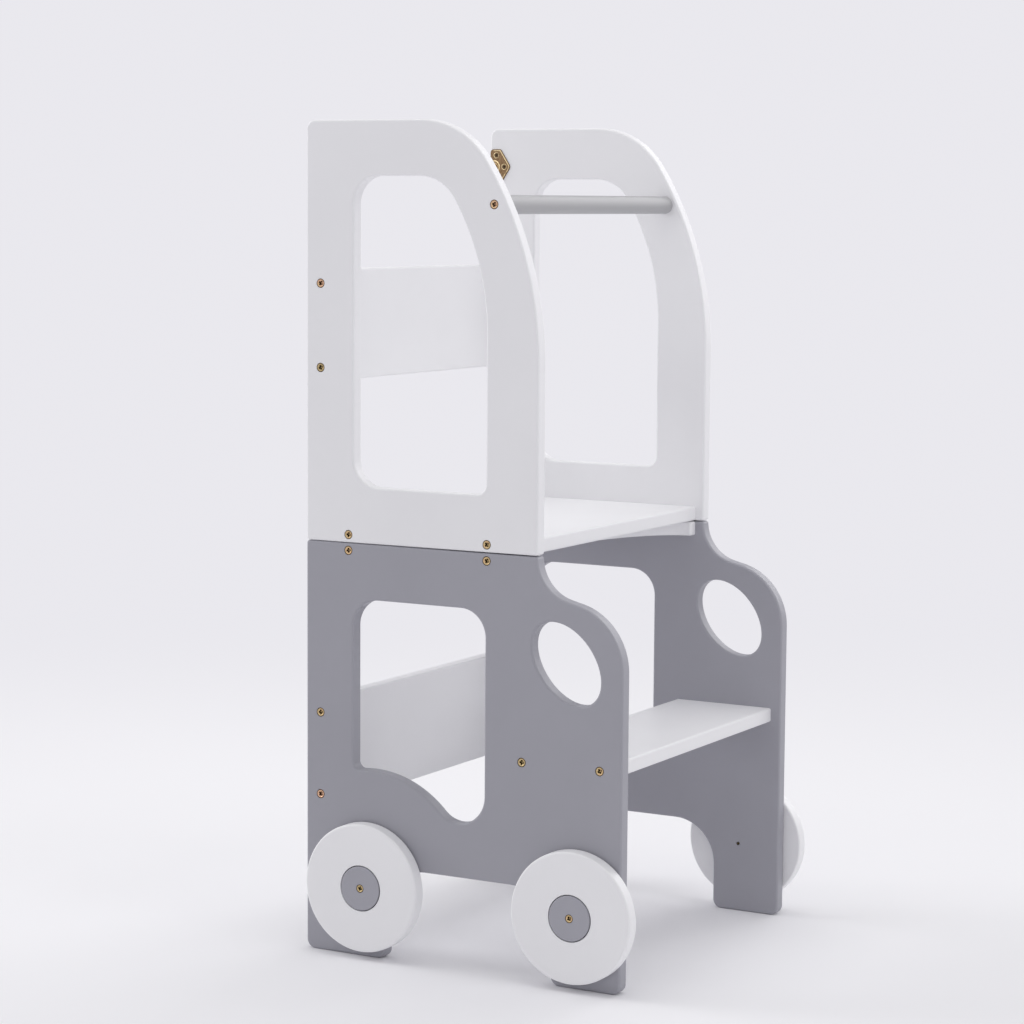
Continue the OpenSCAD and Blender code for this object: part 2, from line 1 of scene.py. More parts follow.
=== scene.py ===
import bpy
import numpy as np
from mathutils import Matrix, Vector
from mathutils.geometry import tessellate_polygon


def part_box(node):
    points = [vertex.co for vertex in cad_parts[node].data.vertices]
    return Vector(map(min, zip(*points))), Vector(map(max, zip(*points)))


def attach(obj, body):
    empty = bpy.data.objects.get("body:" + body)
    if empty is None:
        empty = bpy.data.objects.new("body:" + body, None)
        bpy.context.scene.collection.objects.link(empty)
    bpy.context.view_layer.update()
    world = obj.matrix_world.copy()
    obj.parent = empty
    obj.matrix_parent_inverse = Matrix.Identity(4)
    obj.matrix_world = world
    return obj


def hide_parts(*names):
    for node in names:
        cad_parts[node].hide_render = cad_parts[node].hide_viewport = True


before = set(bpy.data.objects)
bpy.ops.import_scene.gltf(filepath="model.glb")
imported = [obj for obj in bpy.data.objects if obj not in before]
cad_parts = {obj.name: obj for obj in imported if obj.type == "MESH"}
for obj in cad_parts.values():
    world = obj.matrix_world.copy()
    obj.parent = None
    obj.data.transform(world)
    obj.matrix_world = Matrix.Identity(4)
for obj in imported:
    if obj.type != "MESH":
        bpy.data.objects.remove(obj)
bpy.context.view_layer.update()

# Lengths in metres. Side outlines are drawn as [depth, height]: depth counts from the
# panels' rear edges to the front, as in the part's source.
mm = 0.001

# Ways of the three axes: to the right, to the rear and up
X = (1, 0, 0)
Y = (0, 1, 0)
Z = (0, 0, 1)

# Planes that the frame gives
upper_lo, upper_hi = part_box("right_upper_side")
lower_lo, lower_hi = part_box("right_lower_side")
OUTER_X = upper_hi.x
INNER_X = upper_lo.x
BOARD_T = OUTER_X - INNER_X
REAR_Y = upper_hi.y
UPPER_Z = upper_lo.z
TOP_Z = upper_hi.z
LOWER_H = lower_hi.z
UPPER_DEPTH = REAR_Y - upper_lo.y
LOWER_DEPTH = REAR_Y - lower_lo.y
SPLIT_GAP = UPPER_Z - LOWER_H

# Rounded edges of boards and wheels, and the boards' sharp corners
EDGE_R = 2.5 * mm
CORNER_R = 3 * mm
# Largest distance between a drawn arc and the true one
SAG = 0.015 * mm
# Points closer than this are one point
WELD = 0.002 * mm
# Faces smaller than this, in square metres, are dropped
NO_AREA = 1e-13
# Steps of a rounded edge
ROUND_STEPS = 6
# Angles at which screw bores, small round parts and wheels have their points
BORE_ANGLES = np.linspace(0, 2 * np.pi, 40, endpoint=False)
FINE_ANGLES = np.linspace(0, 2 * np.pi, 48, endpoint=False)
ROUND_ANGLES = np.linspace(0, 2 * np.pi, 96, endpoint=False)


# Surfaces: points, normals, edge values and faces of four corners, a triangle's last one twice

def arc(centre, r, a0, a1):
    """Rows u, v, nu, nv of an arc round centre from angle a0 to a1: centre + r (cos a, sin a).
    The normal looks outwards from material on the left of the way along the arc."""
    step = 2 * np.arccos(1 - SAG / max(r, 2 * SAG))
    n = max(2, int(np.ceil(np.radians(abs(a1 - a0)) / step)))
    a = np.radians(np.linspace(a0, a1, n + 1))
    out = np.stack([np.cos(a), np.sin(a)], axis=1)
    return np.hstack([np.asarray(centre) + r * out, np.sign(a1 - a0) * out])


def line(start, end):
    """Two rows of a straight run; the normal lies on the right of the way along it."""
    way = np.subtract(end, start) / np.linalg.norm(np.subtract(end, start))
    return np.array([[*start, way[1], -way[0]], [*end, way[1], -way[0]]])


def closed_loop(*runs):
    """A closed loop of runs. Each point's way inwards is the reverse of its normal, and at a
    sharp corner, where two rows n and m share a place, it is the mitre -(n + m) / (1 + n m).
    Rows are u, v, nu, nv, inward u, inward v, square end."""
    least = 0.2
    rows = np.vstack(runs)
    inward = -rows[:, 2:4]
    for shift in (1, -1):
        other = np.roll(rows, shift, axis=0)
        shared = np.linalg.norm(other[:, :2] - rows[:, :2], axis=1) < WELD
        dot = (other[:, 2:4] * rows[:, 2:4]).sum(axis=1)
        mitre = -(rows[:, 2:4] + other[:, 2:4]) / (1 + dot)[:, None].clip(least)
        inward[shared] = mitre[shared]
    return np.hstack([rows, inward, np.zeros((len(rows), 1))])


def hole(loop):
    """The same loop walked the other way, so that it bounds a hole."""
    return loop[::-1] * [1, 1, -1, -1, -1, -1, 1]


def rounded_wall(t, r):
    """Profile round a slab's edge from its top face to its bottom one: a quarter round at
    r (1 - sin a) in from the wall and t - r (1 - cos a) up, the wall, and its mirror image.
    Rows are inset, height, share of the side normal, share of the upward normal."""
    a = np.linspace(0, np.pi / 2, ROUND_STEPS + 1)
    top = np.stack([r * (1 - np.sin(a)), t - r * (1 - np.cos(a)), np.sin(a), np.cos(a)], axis=1)
    low = top[::-1] * [1, -1, 1, -1] + [0, t, 0, 0]
    return np.vstack([top, low])


def grid(points, normals, edge, closed):
    """Faces over rows and columns of points; closed joins the last column to the first."""
    rows, cols = points.shape[:2]
    here = np.arange(rows * cols).reshape(rows, cols)
    beside = np.roll(here, -1, axis=1)
    if not closed:
        here = here[:, :-1]
        beside = beside[:, :-1]
    faces = np.stack([here[:-1], beside[:-1], beside[1:], here[1:]], axis=-1).reshape(-1, 4)
    edge = np.broadcast_to(edge, (rows, cols)).reshape(-1)
    return points.reshape(-1, 3), normals.reshape(-1, 3), edge, faces


def wall(loop, profile):
    """The profile carried round the loop: (u, v) + inset times the way inwards, at the
    profile's height, with the loop's normal tilted as the profile says."""
    flat = loop[None, :, :2] + profile[:, None, :1] * loop[None, :, 4:6]
    height = np.broadcast_to(profile[:, None, 1:2], flat.shape[:2] + (1,))
    square = loop[None, :, 6:7]
    side = profile[:, None, 2:3] * (1 - square) + square
    up = profile[:, None, 3:4] * (1 - square)
    points = np.concatenate([flat, height], axis=2)
    normals = np.concatenate([side * loop[None, :, 2:4], up + 0 * height], axis=2)
    edge = np.abs(2 * profile[:, 2:3] * profile[:, 3:4])
    return grid(points, normals, edge, True)


def cap(outlines, height, up):
    """A flat face between an outline and its holes, at one height."""
    points = np.vstack(outlines)
    points = np.column_stack([points[:, :2], np.full(len(points), height)])
    triangles = np.array(tessellate_polygon([o.tolist() for o in outlines]))
    faces = np.column_stack([triangles, triangles[:, 2]])
    normals = np.tile([0.0, 0.0, up], (len(points), 1))
    return points, normals, np.zeros(len(points)), faces


def ring(centre, r, angles):
    """Points of a circle round centre at these angles."""
    return np.asarray(centre) + r * np.stack([np.cos(angles), np.sin(angles)], axis=1)


def turned(profile, angles, centre=(0.0, 0.0)):
    """The profile turned about the w axis through centre: radius (cos a, sin a) and height.
    Rows are radius, height, outward normal, upward normal."""
    out = np.stack([np.cos(angles), np.sin(angles)], axis=1)
    flat = np.asarray(centre) + profile[:, None, :1] * out[None]
    height = np.broadcast_to(profile[:, None, 1:2], flat.shape[:2] + (1,))
    points = np.concatenate([flat, height], axis=2)
    normals = np.concatenate([profile[:, None, 2:3] * out[None],
                              np.broadcast_to(profile[:, None, 3:4], height.shape)], axis=2)
    edge = np.abs(2 * profile[:, 2:3] * profile[:, 3:4])
    return grid(points, normals, edge, True)


def lathe_rows(*runs):
    """Profile rows from runs of (radius, height) points: straight pieces between the points,
    each with its own normal, the material on the left of the way along them."""
    rows = []
    for run in runs:
        run = np.asarray(run, dtype=float)
        step = np.diff(run, axis=0)
        normal = np.stack([step[:, 1], -step[:, 0]], axis=1)
        normal /= np.linalg.norm(normal, axis=1)[:, None]
        both = np.repeat(normal, 2, axis=0)
        ends = np.stack([run[:-1], run[1:]], axis=1).reshape(-1, 2)
        rows.append(np.hstack([ends, both]))
    return np.vstack(rows)


def slab(loops, t, profile, bores=()):
    """A board: the profile round each loop, and two flat faces with the loops' holes and the
    bores' ends cut out. A bore is its centre and its lathe rows from the top face through to
    the bottom one."""
    tops = [loop[:, :2] + profile[0, 0] * loop[:, 4:6] for loop in loops]
    lows = [loop[:, :2] + profile[-1, 0] * loop[:, 4:6] for loop in loops]
    parts = [wall(loop, profile) for loop in loops]
    for centre, rows in bores:
        parts.append(turned(rows, BORE_ANGLES, centre))
        tops.append(ring(centre, rows[0, 0], BORE_ANGLES))
        lows.append(ring(centre, rows[-1, 0], BORE_ANGLES))
    parts.append(cap(tops, t, 1.0))
    parts.append(cap(lows, 0.0, -1.0))
    return parts


def place(parts, origin, u_way=X, v_way=Y, w_way=Z):
    """Surfaces drawn in u, v, w put at origin + u u_way + v v_way + w w_way."""
    turn = np.array([u_way, v_way, w_way], dtype=float)
    return [(p @ turn + np.asarray(origin), n @ turn, e, f) for p, n, e, f in parts]


def with_painted_light(part, value):
    """The same surface with one edge value; on metal 1 is polished with a painted highlight, 0
    plain, -1 painted shade.
    """
    return part[0], part[1], np.full(len(part[2]), float(value)), part[3]


def on_side(parts, side):
    """Surfaces drawn in depth, height and distance from a panel's inner face, put on a side."""
    return place(parts, (side * INNER_X, REAR_Y, 0), (0, -1, 0), Z, (side, 0, 0))


def outwards(parts, side, x, depth, height):
    """Surfaces drawn round an axle put on a side, at a distance x from the middle, with w
    pointing away from the object."""
    return place(parts, (side * x, REAR_Y - depth, height), Y, Z, (side, 0, 0))


def piece(name, parts, body, slot, material, *nodes):
    """One mesh from several surfaces: points that coincide are made one, faces without area
    are dropped, and each face is turned to the side that its normals name."""
    starts = np.cumsum([0] + [len(p[0]) for p in parts[:-1]])
    points = np.concatenate([p[0] for p in parts])
    normals = np.concatenate([p[1] for p in parts])
    edge = np.concatenate([p[2] for p in parts])
    faces = np.concatenate([p[3] + start for p, start in zip(parts, starts)])
    q = points[faces]
    area = np.cross(q[:, 2] - q[:, 0], q[:, 3] - q[:, 1])
    turn = (area * normals[faces].sum(axis=1)).sum(axis=1) < 0
    faces[turn] = faces[turn, ::-1]
    _, first, same = np.unique(
        np.round(points / WELD).astype(np.int64), axis=0, return_index=True, return_inverse=True
    )
    corners = same.reshape(-1)[faces]
    keep = corners != np.roll(corners, -1, axis=1)
    count = keep.sum(axis=1)
    flat = np.linalg.norm(area, axis=1) < NO_AREA
    threes = (count == 3) & ~flat
    fours = (count == 4) & ~flat
    tri = corners[threes][keep[threes]].reshape(-1, 3)
    quad = corners[fours]
    mesh = bpy.data.meshes.new(name)
    mesh.from_pydata(points[first].tolist(), [], tri.tolist() + quad.tolist())
    mesh.polygons.foreach_set("use_smooth", np.ones(len(mesh.polygons), dtype=bool))
    source = np.concatenate([faces[threes][keep[threes]], faces[fours].reshape(-1)])
    raw = normals[source]
    mesh.normals_split_custom_set((raw / np.linalg.norm(raw, axis=1)[:, None]).tolist())
    layer = mesh.attributes.new("edge", "FLOAT", "CORNER")
    layer.data.foreach_set("value", edge[source])
    mesh.materials.append(material)
    made = bpy.data.objects.new(name + "_finished", mesh)
    bpy.context.scene.collection.objects.link(made)
    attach(made, body)
    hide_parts(*(nodes or (name,)))
    return made


# Paints and metals

def node_tools(owner):
    """Empties the node tree of a material or world, and gives a function that adds a node and
    sets its values, in_NAME being the input of that name, and one that links two sockets."""
    owner.use_nodes = True
    tree = owner.node_tree
    tree.nodes.clear()

    def add(kind, **values):
        node = tree.nodes.new(kind)
        for key, value in values.items():
            if key.startswith("in_"):
                node.inputs[key[3:].replace("_", " ")].default_value = value
            else:
                setattr(node, key, value)
        return node

    def link(source, target):
        tree.links.new(source, target)

    return add, link


def noise(add, link, where, **values):
    """A noise over these coordinates, from 0 to 1."""
    made = add("ShaderNodeTexNoise", **values)
    link(where, made.inputs["Vector"])
    return made.outputs["Fac"]


def ranged(add, link, value, **values):
    """A value carried from one range to another and kept inside it."""
    made = add("ShaderNodeMapRange", **values)
    link(value, made.inputs["Value"])
    return made.outputs["Result"]


def mapped(add, link, where, **values):
    """Coordinates stretched and turned."""
    made = add("ShaderNodeMapping", **values)
    link(where, made.inputs["Vector"])
    return made.outputs["Vector"]


def mixed_colour(add, link, share, low, high):
    """A mix of two colours by a share. Each of them is three numbers or an output."""
    made = add("ShaderNodeMix", data_type="RGBA")
    link(share, made.inputs[0])
    for socket, colour in ((made.inputs[6], low), (made.inputs[7], high)):
        if isinstance(colour, tuple):
            socket.default_value = (*colour, 1)
        else:
            link(colour, socket)
    return made.outputs[2]


def mixed_shader(add, link, share, first, second):
    """A mix of two shaders by a share."""
    made = add("ShaderNodeMixShader")
    for socket, source in zip(made.inputs, (share, first, second)):
        link(source, socket)
    return made.outputs[0]


def bumped(add, link, height, strength, distance, under=None):
    """The normal of a bump of that height, on top of another normal where one is given."""
    made = add("ShaderNodeBump", in_Strength=strength, in_Distance=distance)
    link(height, made.inputs["Height"])
    if under is not None:
        link(under, made.inputs["Normal"])
    return made.outputs["Normal"]


def coated(add, link, colour, normal, rough=None, **values):
    """The surface's shader, whose colour, normal and roughness these outputs give."""
    shader = add("ShaderNodeBsdfPrincipled", **values)
    link(colour, shader.inputs["Base Color"])
    link(normal, shader.inputs["Normal"])
    if rough is not None:
        link(rough, shader.inputs["Roughness"])
    out = add("ShaderNodeOutputMaterial")
    link(shader.outputs["BSDF"], out.inputs["Surface"])


def paint(name, colour, dark, rough, grain=False):
    """Satin paint sprayed on board: faint cloudy differences in tone, orange-peel bump, and a
    rougher, slightly drier film over the rounded edges. Grain draws the broad bump out along
    the rail."""
    made = bpy.data.materials.new(name)
    add, link = node_tools(made)
    dry = 0.12
    where = add("ShaderNodeTexCoord").outputs["Object"]
    clouds = noise(add, link, where, in_Scale=9.0, in_Detail=4.0, in_Roughness=0.6)
    share = ranged(add, link, clouds, in_From_Min=0.3, in_From_Max=0.7)
    peel = noise(add, link, where, in_Scale=900.0, in_Detail=2.0)
    if grain:
        along = mapped(add, link, where, in_Scale=(0.04, 1.0, 1.0))
        waves = noise(add, link, along, in_Scale=420.0, in_Detail=1.0)
    else:
        waves = noise(add, link, where, in_Scale=110.0, in_Detail=1.0)
    fine = bumped(add, link, peel, 0.25, 0.02 * mm)
    broad = bumped(add, link, waves, 0.3, 0.12 * mm, fine)
    edge = add("ShaderNodeAttribute", attribute_name="edge").outputs["Fac"]
    film = ranged(add, link, edge, in_To_Min=rough, in_To_Max=rough + dry)
    coated(add, link, mixed_colour(add, link, share, dark, colour), broad, film, in_IOR=1.46)
    return made


def tone_ramp(add, link, value, colours):
    """Colours spread evenly over the middle of a noise's range."""
    ramp = add("ShaderNodeValToRGB")
    stops = ramp.color_ramp.elements
    places = np.linspace(0.36, 0.64, len(colours))
    for stop, at, colour in ((stops[0], places[0], colours[0]), (stops[1], places[-1], colours[-1])):
        stop.position = at
        stop.color = (*colour, 1)
    for at, colour in zip(places[1:-1], colours[1:-1]):
        stops.new(at).color = (*colour, 1)
    link(value, ramp.inputs["Fac"])
    return ramp.outputs["Color"]


def metal(name, colours, painted_light, painted_shade, rough, drift):
    """Plated metal: a ramp of tones over fine noise, and drift is the share in it of a slow
    noise, so that no two screws have one hue. Where the edge attribute is above zero, on raised
    rims and rounded edges, it lowers the roughness as polish and mixes in the painted_light colour
    as a painted highlight; where it is below zero it mixes in the painted_shade colour as painted
    shade in recesses. Fine scratches lie in roughness and bump."""
    made = bpy.data.materials.new(name)
    add, link = node_tools(made)
    where = add("ShaderNodeTexCoord").outputs["Object"]
    tone = add("ShaderNodeMix", data_type="FLOAT")
    tone.inputs[0].default_value = drift
    link(noise(add, link, where, in_Scale=330.0, in_Detail=3.0), tone.inputs[2])
    link(noise(add, link, where, in_Scale=17.0, in_Detail=0.0), tone.inputs[3])
    plating = tone_ramp(add, link, tone.outputs[0], colours)
    edge = add("ShaderNodeAttribute", attribute_name="edge").outputs["Fac"]
    # high is the share of polish and painted highlight, low the share of painted shade
    high = ranged(add, link, edge)
    low = ranged(add, link, edge, in_From_Max=-1.0)
    bright = mixed_colour(add, link, high, plating, painted_light)
    painted_light_mix = mixed_colour(add, link, low, bright, painted_shade)
    stretched = mapped(add, link, where, in_Scale=(1.0, 0.12, 1.0), in_Rotation=(0.5, 0.2, 0.0))
    scratches = noise(add, link, stretched, in_Scale=2600.0, in_Detail=2.0)
    gloss = ranged(add, link, scratches, in_To_Min=rough * 0.7, in_To_Max=rough * 1.4)
    polished = add("ShaderNodeMix", data_type="FLOAT")
    polished.inputs[3].default_value = rough * 0.55
    link(high, polished.inputs[0])
    link(gloss, polished.inputs[2])
    bump = bumped(add, link, scratches, 0.4, 0.01 * mm)
    coated(add, link, painted_light_mix, bump, polished.outputs[0], in_Metallic=1.0)
    return made


def felt(name, dark, pale):
    """Pressed felt: short matted fibres, a warped noise in tone and bump."""
    made = bpy.data.materials.new(name)
    add, link = node_tools(made)
    where = add("ShaderNodeTexCoord").outputs["Object"]
    fibres = noise(add, link, where, in_Scale=1800.0, in_Detail=6.0, in_Distortion=1.5)
    colour = mixed_colour(add, link, fibres, dark, pale)
    coated(add, link, colour, bumped(add, link, fibres, 0.8, 0.1 * mm), in_Roughness=0.95)
    return made


WHITE = paint("white_paint", (0.885, 0.882, 0.9), (0.865, 0.862, 0.88), rough=0.42)
GREY = paint("grey_paint", (0.374, 0.372, 0.414), (0.358, 0.356, 0.397), rough=0.45)
# The wheels' and hubs' paints are lighter copies of the white and grey paints: painted light on the
# wheels and hubs
LIGHTENED_WHEEL_WHITE = paint("white_paint_lightened_for_wheels", (0.92, 0.917, 0.935), (0.9, 0.897, 0.915), rough=0.42)
LIGHTENED_HUB_GREY = paint("grey_paint_lightened_for_hubs", (0.4, 0.398, 0.443), (0.383, 0.381, 0.425), rough=0.45)
RAIL_GREY = paint("grey_rail_paint", (0.415, 0.413, 0.425), (0.395, 0.393, 0.405), rough=0.42,
                  grain=True)
# painted_light is each metal's colour of painted highlight on rims and edges, painted_shade its
# colour of painted shade in recesses
ZINC = metal("yellow_zinc",
             [(0.34, 0.26, 0.1), (0.5, 0.38, 0.17), (0.62, 0.4, 0.2), (0.66, 0.36, 0.25)],
             painted_light=(0.85, 0.66, 0.42), painted_shade=(0.045, 0.03, 0.018), rough=0.3, drift=0.6)
BRASS = metal("antique_brass", [(0.19, 0.12, 0.06), (0.27, 0.175, 0.095), (0.34, 0.22, 0.12)],
              painted_light=(1.0, 0.83, 0.5), painted_shade=(0.07, 0.05, 0.03), rough=0.3, drift=0.2)
FELT = felt("pressed_felt", (0.62, 0.62, 0.6), (0.82, 0.82, 0.8))


# Side panels

HUB_HOLE_R = 2.1 * mm


def side_bore():
    """Countersunk screw hole through a panel, from the outer face in, its lip eased by paint."""
    lip = 0.35 * mm
    rim = 5.0 * mm
    sink = 0.7 * mm
    shank = 2.6 * mm
    return lathe_rows([
        (rim + lip, BOARD_T), (rim, BOARD_T - lip), (rim, BOARD_T - sink),
        (shank, BOARD_T - sink - rim + shank), (shank, 0)
    ])


def hub_bore():
    """Hole of a hub's screw through the panel."""
    return lathe_rows([(HUB_HOLE_R, BOARD_T), (HUB_HOLE_R, 0)])


def brow(front, top, r1, r2, sweep):
    """Front edge that leaves the vertical in a long arc r1 of so many degrees, and runs in an
    arc r2 into the flat top."""
    low = np.array([front - r1, top - r2 - (r1 - r2) * np.sin(np.radians(sweep))])
    way = np.array([np.cos(np.radians(sweep)), np.sin(np.radians(sweep))])
    return [arc(low, r1, 0, sweep), arc(low + (r1 - r2) * way, r2, sweep, 90)]


# Both windows' upright edges and corners, and the axles
WINDOW_REAR = 60 * mm
WINDOW_FRONT = UPPER_DEPTH - 62 * mm
WINDOW_R = 30 * mm
WHEEL_Z = 79 * mm
REAR_AXLE = 80 * mm
FRONT_AXLE = LOWER_DEPTH - 50.5 * mm
# The split closes to a hair at the rear and opens towards the front
REAR_DROP = 0.7 * mm


def upper_loops():
    """Outline and window of an upper side panel."""
    sill = UPPER_Z + 60 * mm
    top = TOP_Z - 59 * mm
    toe_r = 12 * mm
    back_r = 10 * mm
    heel = UPPER_Z - REAR_DROP
    outline = closed_loop(
        arc([CORNER_R, heel + CORNER_R], CORNER_R, 180, 270),
        arc([UPPER_DEPTH - CORNER_R, UPPER_Z + CORNER_R], CORNER_R, 270, 360),
        *brow(UPPER_DEPTH, TOP_Z, r1=383 * mm, r2=96 * mm, sweep=33.5),
        arc([back_r, TOP_Z - back_r], back_r, 90, 180)
    )
    window = closed_loop(
        arc([WINDOW_REAR + WINDOW_R, sill + WINDOW_R], WINDOW_R, 180, 270),
        arc([WINDOW_FRONT - toe_r, sill + toe_r], toe_r, 270, 360),
        *brow(WINDOW_FRONT, top, r1=272 * mm, r2=50 * mm, sweep=31.6),
        arc([WINDOW_REAR + WINDOW_R, top - WINDOW_R], WINDOW_R, 90, 180)
    )
    return [outline, hole(window)]


def lower_outline():
    """Car-shaped outline: feet, arch, bonnet, cowl and flat top."""
    foot_r = 10 * mm
    arch_r = 50 * mm
    arch_h = 101 * mm
    rear_leg = 101 * mm
    front_leg = LOWER_DEPTH - 82 * mm
    cowl_r = 45 * mm
    nose_r = 70 * mm
    cowl = np.array([UPPER_DEPTH + cowl_r, LOWER_H])
    nose = np.array([LOWER_DEPTH - nose_r, LOWER_H - cowl_r - nose_r])
    way = nose - cowl
    reach = np.linalg.norm(way)
    scuttle = np.degrees(
        np.arctan2(way[1], way[0]) - np.arccos(min(1.0, (cowl_r + nose_r) / reach)))
    lip = np.array([cowl[0] - np.sqrt((cowl_r + CORNER_R) ** 2 - CORNER_R ** 2),
                    LOWER_H - CORNER_R])
    lip_angle = np.degrees(np.arctan2(CORNER_R, cowl[0] - lip[0]))
    return closed_loop(
        arc([foot_r, foot_r], foot_r, 180, 270),
        arc([rear_leg - foot_r, foot_r], foot_r, 270, 360),
        arc([rear_leg + arch_r, arch_h - arch_r], arch_r, 180, 90),
        arc([front_leg - arch_r, arch_h - arch_r], arch_r, 90, 0),
        arc([front_leg + foot_r, foot_r], foot_r, 180, 270),
        arc([LOWER_DEPTH - foot_r, foot_r], foot_r, 270, 360),
        arc(nose, nose_r, 0, scuttle + 180),
        arc(cowl, cowl_r, scuttle, lip_angle - 180),
        arc(lip, CORNER_R, lip_angle, 90),
        arc([CORNER_R, LOWER_H - CORNER_R], CORNER_R, 90, 180)
    )


def lower_window():
    """Window whose floor follows the mudguard, an arc round the rear axle."""
    axle = np.array([REAR_AXLE, WHEEL_Z])
    top = LOWER_H - 60 * mm
    guard_r = 126 * mm
    heel_r = 8 * mm
    toe_r = 32 * mm
    heel_x = WINDOW_REAR + heel_r
    toe_x = WINDOW_FRONT - toe_r
    heel_up = np.sqrt((guard_r + heel_r) ** 2 - (heel_x - axle[0]) ** 2)
    toe_up = np.sqrt((guard_r + toe_r) ** 2 - (toe_x - axle[0]) ** 2)
    heel_angle = np.degrees(np.arctan2(heel_up, heel_x - axle[0]))
    toe_angle = np.degrees(np.arctan2(toe_up, toe_x - axle[0]))
    return closed_loop(
        arc([WINDOW_REAR + WINDOW_R, top - WINDOW_R], WINDOW_R, 90, 180),
        arc([heel_x, axle[1] + heel_up], heel_r, 180, heel_angle + 180),
        arc(axle, guard_r, heel_angle, toe_angle),
        arc([toe_x, axle[1] + toe_up], toe_r, toe_angle + 180, 360),
        arc([WINDOW_FRONT - WINDOW_R, top - WINDOW_R], WINDOW_R, 0, 90)
    )


def headlamp():
    """Leaning ellipse: centre + turned (a cos t, b sin t), with the normal (b cos t, a sin t)."""
    a = 49 * mm
    b = 32.5 * mm
    lean = np.radians(-49)
    t = np.linspace(0, 2 * np.pi, 120, endpoint=False)
    turn = np.array([[np.cos(lean), np.sin(lean)], [-np.sin(lean), np.cos(lean)]])
    points = np.stack([a * np.cos(t), b * np.sin(t)], axis=1) @ turn
    normals = np.stack([b * np.cos(t), a * np.sin(t)], axis=1)
    normals = (normals / np.linalg.norm(normals, axis=1)[:, None]) @ turn
    inset = 66.5 * mm
    drop = 109 * mm
    centre = [LOWER_DEPTH - inset, LOWER_H - drop]
    return closed_loop(np.hstack([points + centre, normals]))


# Where the side screws enter, as [depth, height]
DECK_DEPTH = UPPER_DEPTH - 10 * mm
DECK_SCREWS = [53.5 * mm, DECK_DEPTH - 50.5 * mm]
BACK_MID = 18 * mm
BACK_RISE = 45 * mm
UPPER_BACK_Z = TOP_Z - 218 * mm
LOWER_BACK_Z = 218 * mm
rail_lo, rail_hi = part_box("grab_rail")
RAIL = np.array([REAR_Y - (rail_lo.y + rail_hi.y) / 2, (rail_lo.z + rail_hi.z) / 2])
step_lo, step_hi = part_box("step_board")
STEP_MID_Z = (step_lo.z + step_hi.z) / 2
STEP_INSET = 14 * mm
STEP_SCREWS = [REAR_Y - step_hi.y + STEP_INSET, REAR_Y - step_lo.y - STEP_INSET]
UPPER_SCREWS = [
    RAIL, (BACK_MID, UPPER_BACK_Z - BACK_RISE), (BACK_MID, UPPER_BACK_Z + BACK_RISE),
    (DECK_SCREWS[0], UPPER_Z + BOARD_T / 2), (DECK_SCREWS[1], UPPER_Z + BOARD_T / 2)
]
LOWER_SCREWS = [
    (DECK_SCREWS[0], LOWER_H - BOARD_T / 2), (DECK_SCREWS[1], LOWER_H - BOARD_T / 2),
    (STEP_SCREWS[0], STEP_MID_Z), (STEP_SCREWS[1], STEP_MID_Z),
    (BACK_MID, LOWER_BACK_Z - BACK_RISE), (BACK_MID, LOWER_BACK_Z + BACK_RISE)
]
SIDES = [("left", -1), ("right", 1)]


def side_panels():
    """Both upper and both lower side panels."""
    profile = rounded_wall(BOARD_T, EDGE_R)
    upper_bores = [(p, side_bore()) for p in UPPER_SCREWS]
    lower_bores = [(p, side_bore()) for p in LOWER_SCREWS]
    lower_bores += [((d, WHEEL_Z), hub_bore()) for d in (FRONT_AXLE, REAR_AXLE)]
    upper = slab(upper_loops(), BOARD_T, profile, upper_bores)
    loops = [lower_outline(), hole(lower_window()), hole(headlamp())]
    lower = slab(loops, BOARD_T, profile, lower_bores)
    for word, side in SIDES:
        piece(word + "_upper_side", on_side(upper, side), "upper_frame", "white_board", WHITE)
        piece(word + "_lower_side", on_side(lower, side), "lower_frame", "grey_board", GREY)


# Boards between the panels

def square_end(u, way, v0, v1):
    """The flat end of a board at u: its two corners, inset only along the end."""
    rows = [[u, v0, way, 0, 0, np.sign(v1 - v0), 1], [u, v1, way, 0, 0, np.sign(v0 - v1), 1]]
    return np.array(rows, dtype=float)


def straight(u0, u1, v, way):
    """A straight long edge from u0 to u1 at v, its normal along v."""
    return np.array([[u0, v, 0, way, 0, -way, 0], [u1, v, 0, way, 0, -way, 0]], dtype=float)


def plain_loop(v0, v1):
    """A board's outline from end to end, between its long edges v0 and v1."""
    half = INNER_X
    return np.vstack([
        straight(-half, half, v0, -1), square_end(half, 1, v0, v1),
        straight(half, -half, v1, 1), square_end(-half, -1, v1, v0)
    ])


def hollow_loop(v0, v1):
    """A board's outline whose front edge v0 is hollowed by half an ellipse
    (a cos t, v0 + b sin t), with small rounded tips."""
    half = INNER_X
    shoulder = 11 * mm
    a = half - shoulder
    b = 76 * mm
    r = 3 * mm
    t0 = np.arcsin(r / b)
    u0 = a * np.cos(t0)
    t = np.linspace(t0, np.pi - t0, 161)[::-1]
    normal = np.stack([-b * np.cos(t), -a * np.sin(t)], axis=1)
    normal /= np.linalg.norm(normal, axis=1)[:, None]
    hollow = np.hstack([np.stack([a * np.cos(t), v0 + b * np.sin(t)], axis=1), normal])
    left = arc([-u0 - r, v0 + r], r, 270, 360)
    right = arc([u0 + r, v0 + r], r, 180, 270)
    curve = closed_loop(left, hollow, right)
    return np.vstack([
        straight(-half, -u0 - r, v0, -1), curve, straight(u0 + r, half, v0, -1),
        square_end(half, 1, v0, v1), straight(half, -half, v1, 1), square_end(-half, -1, v1, v0)
    ])


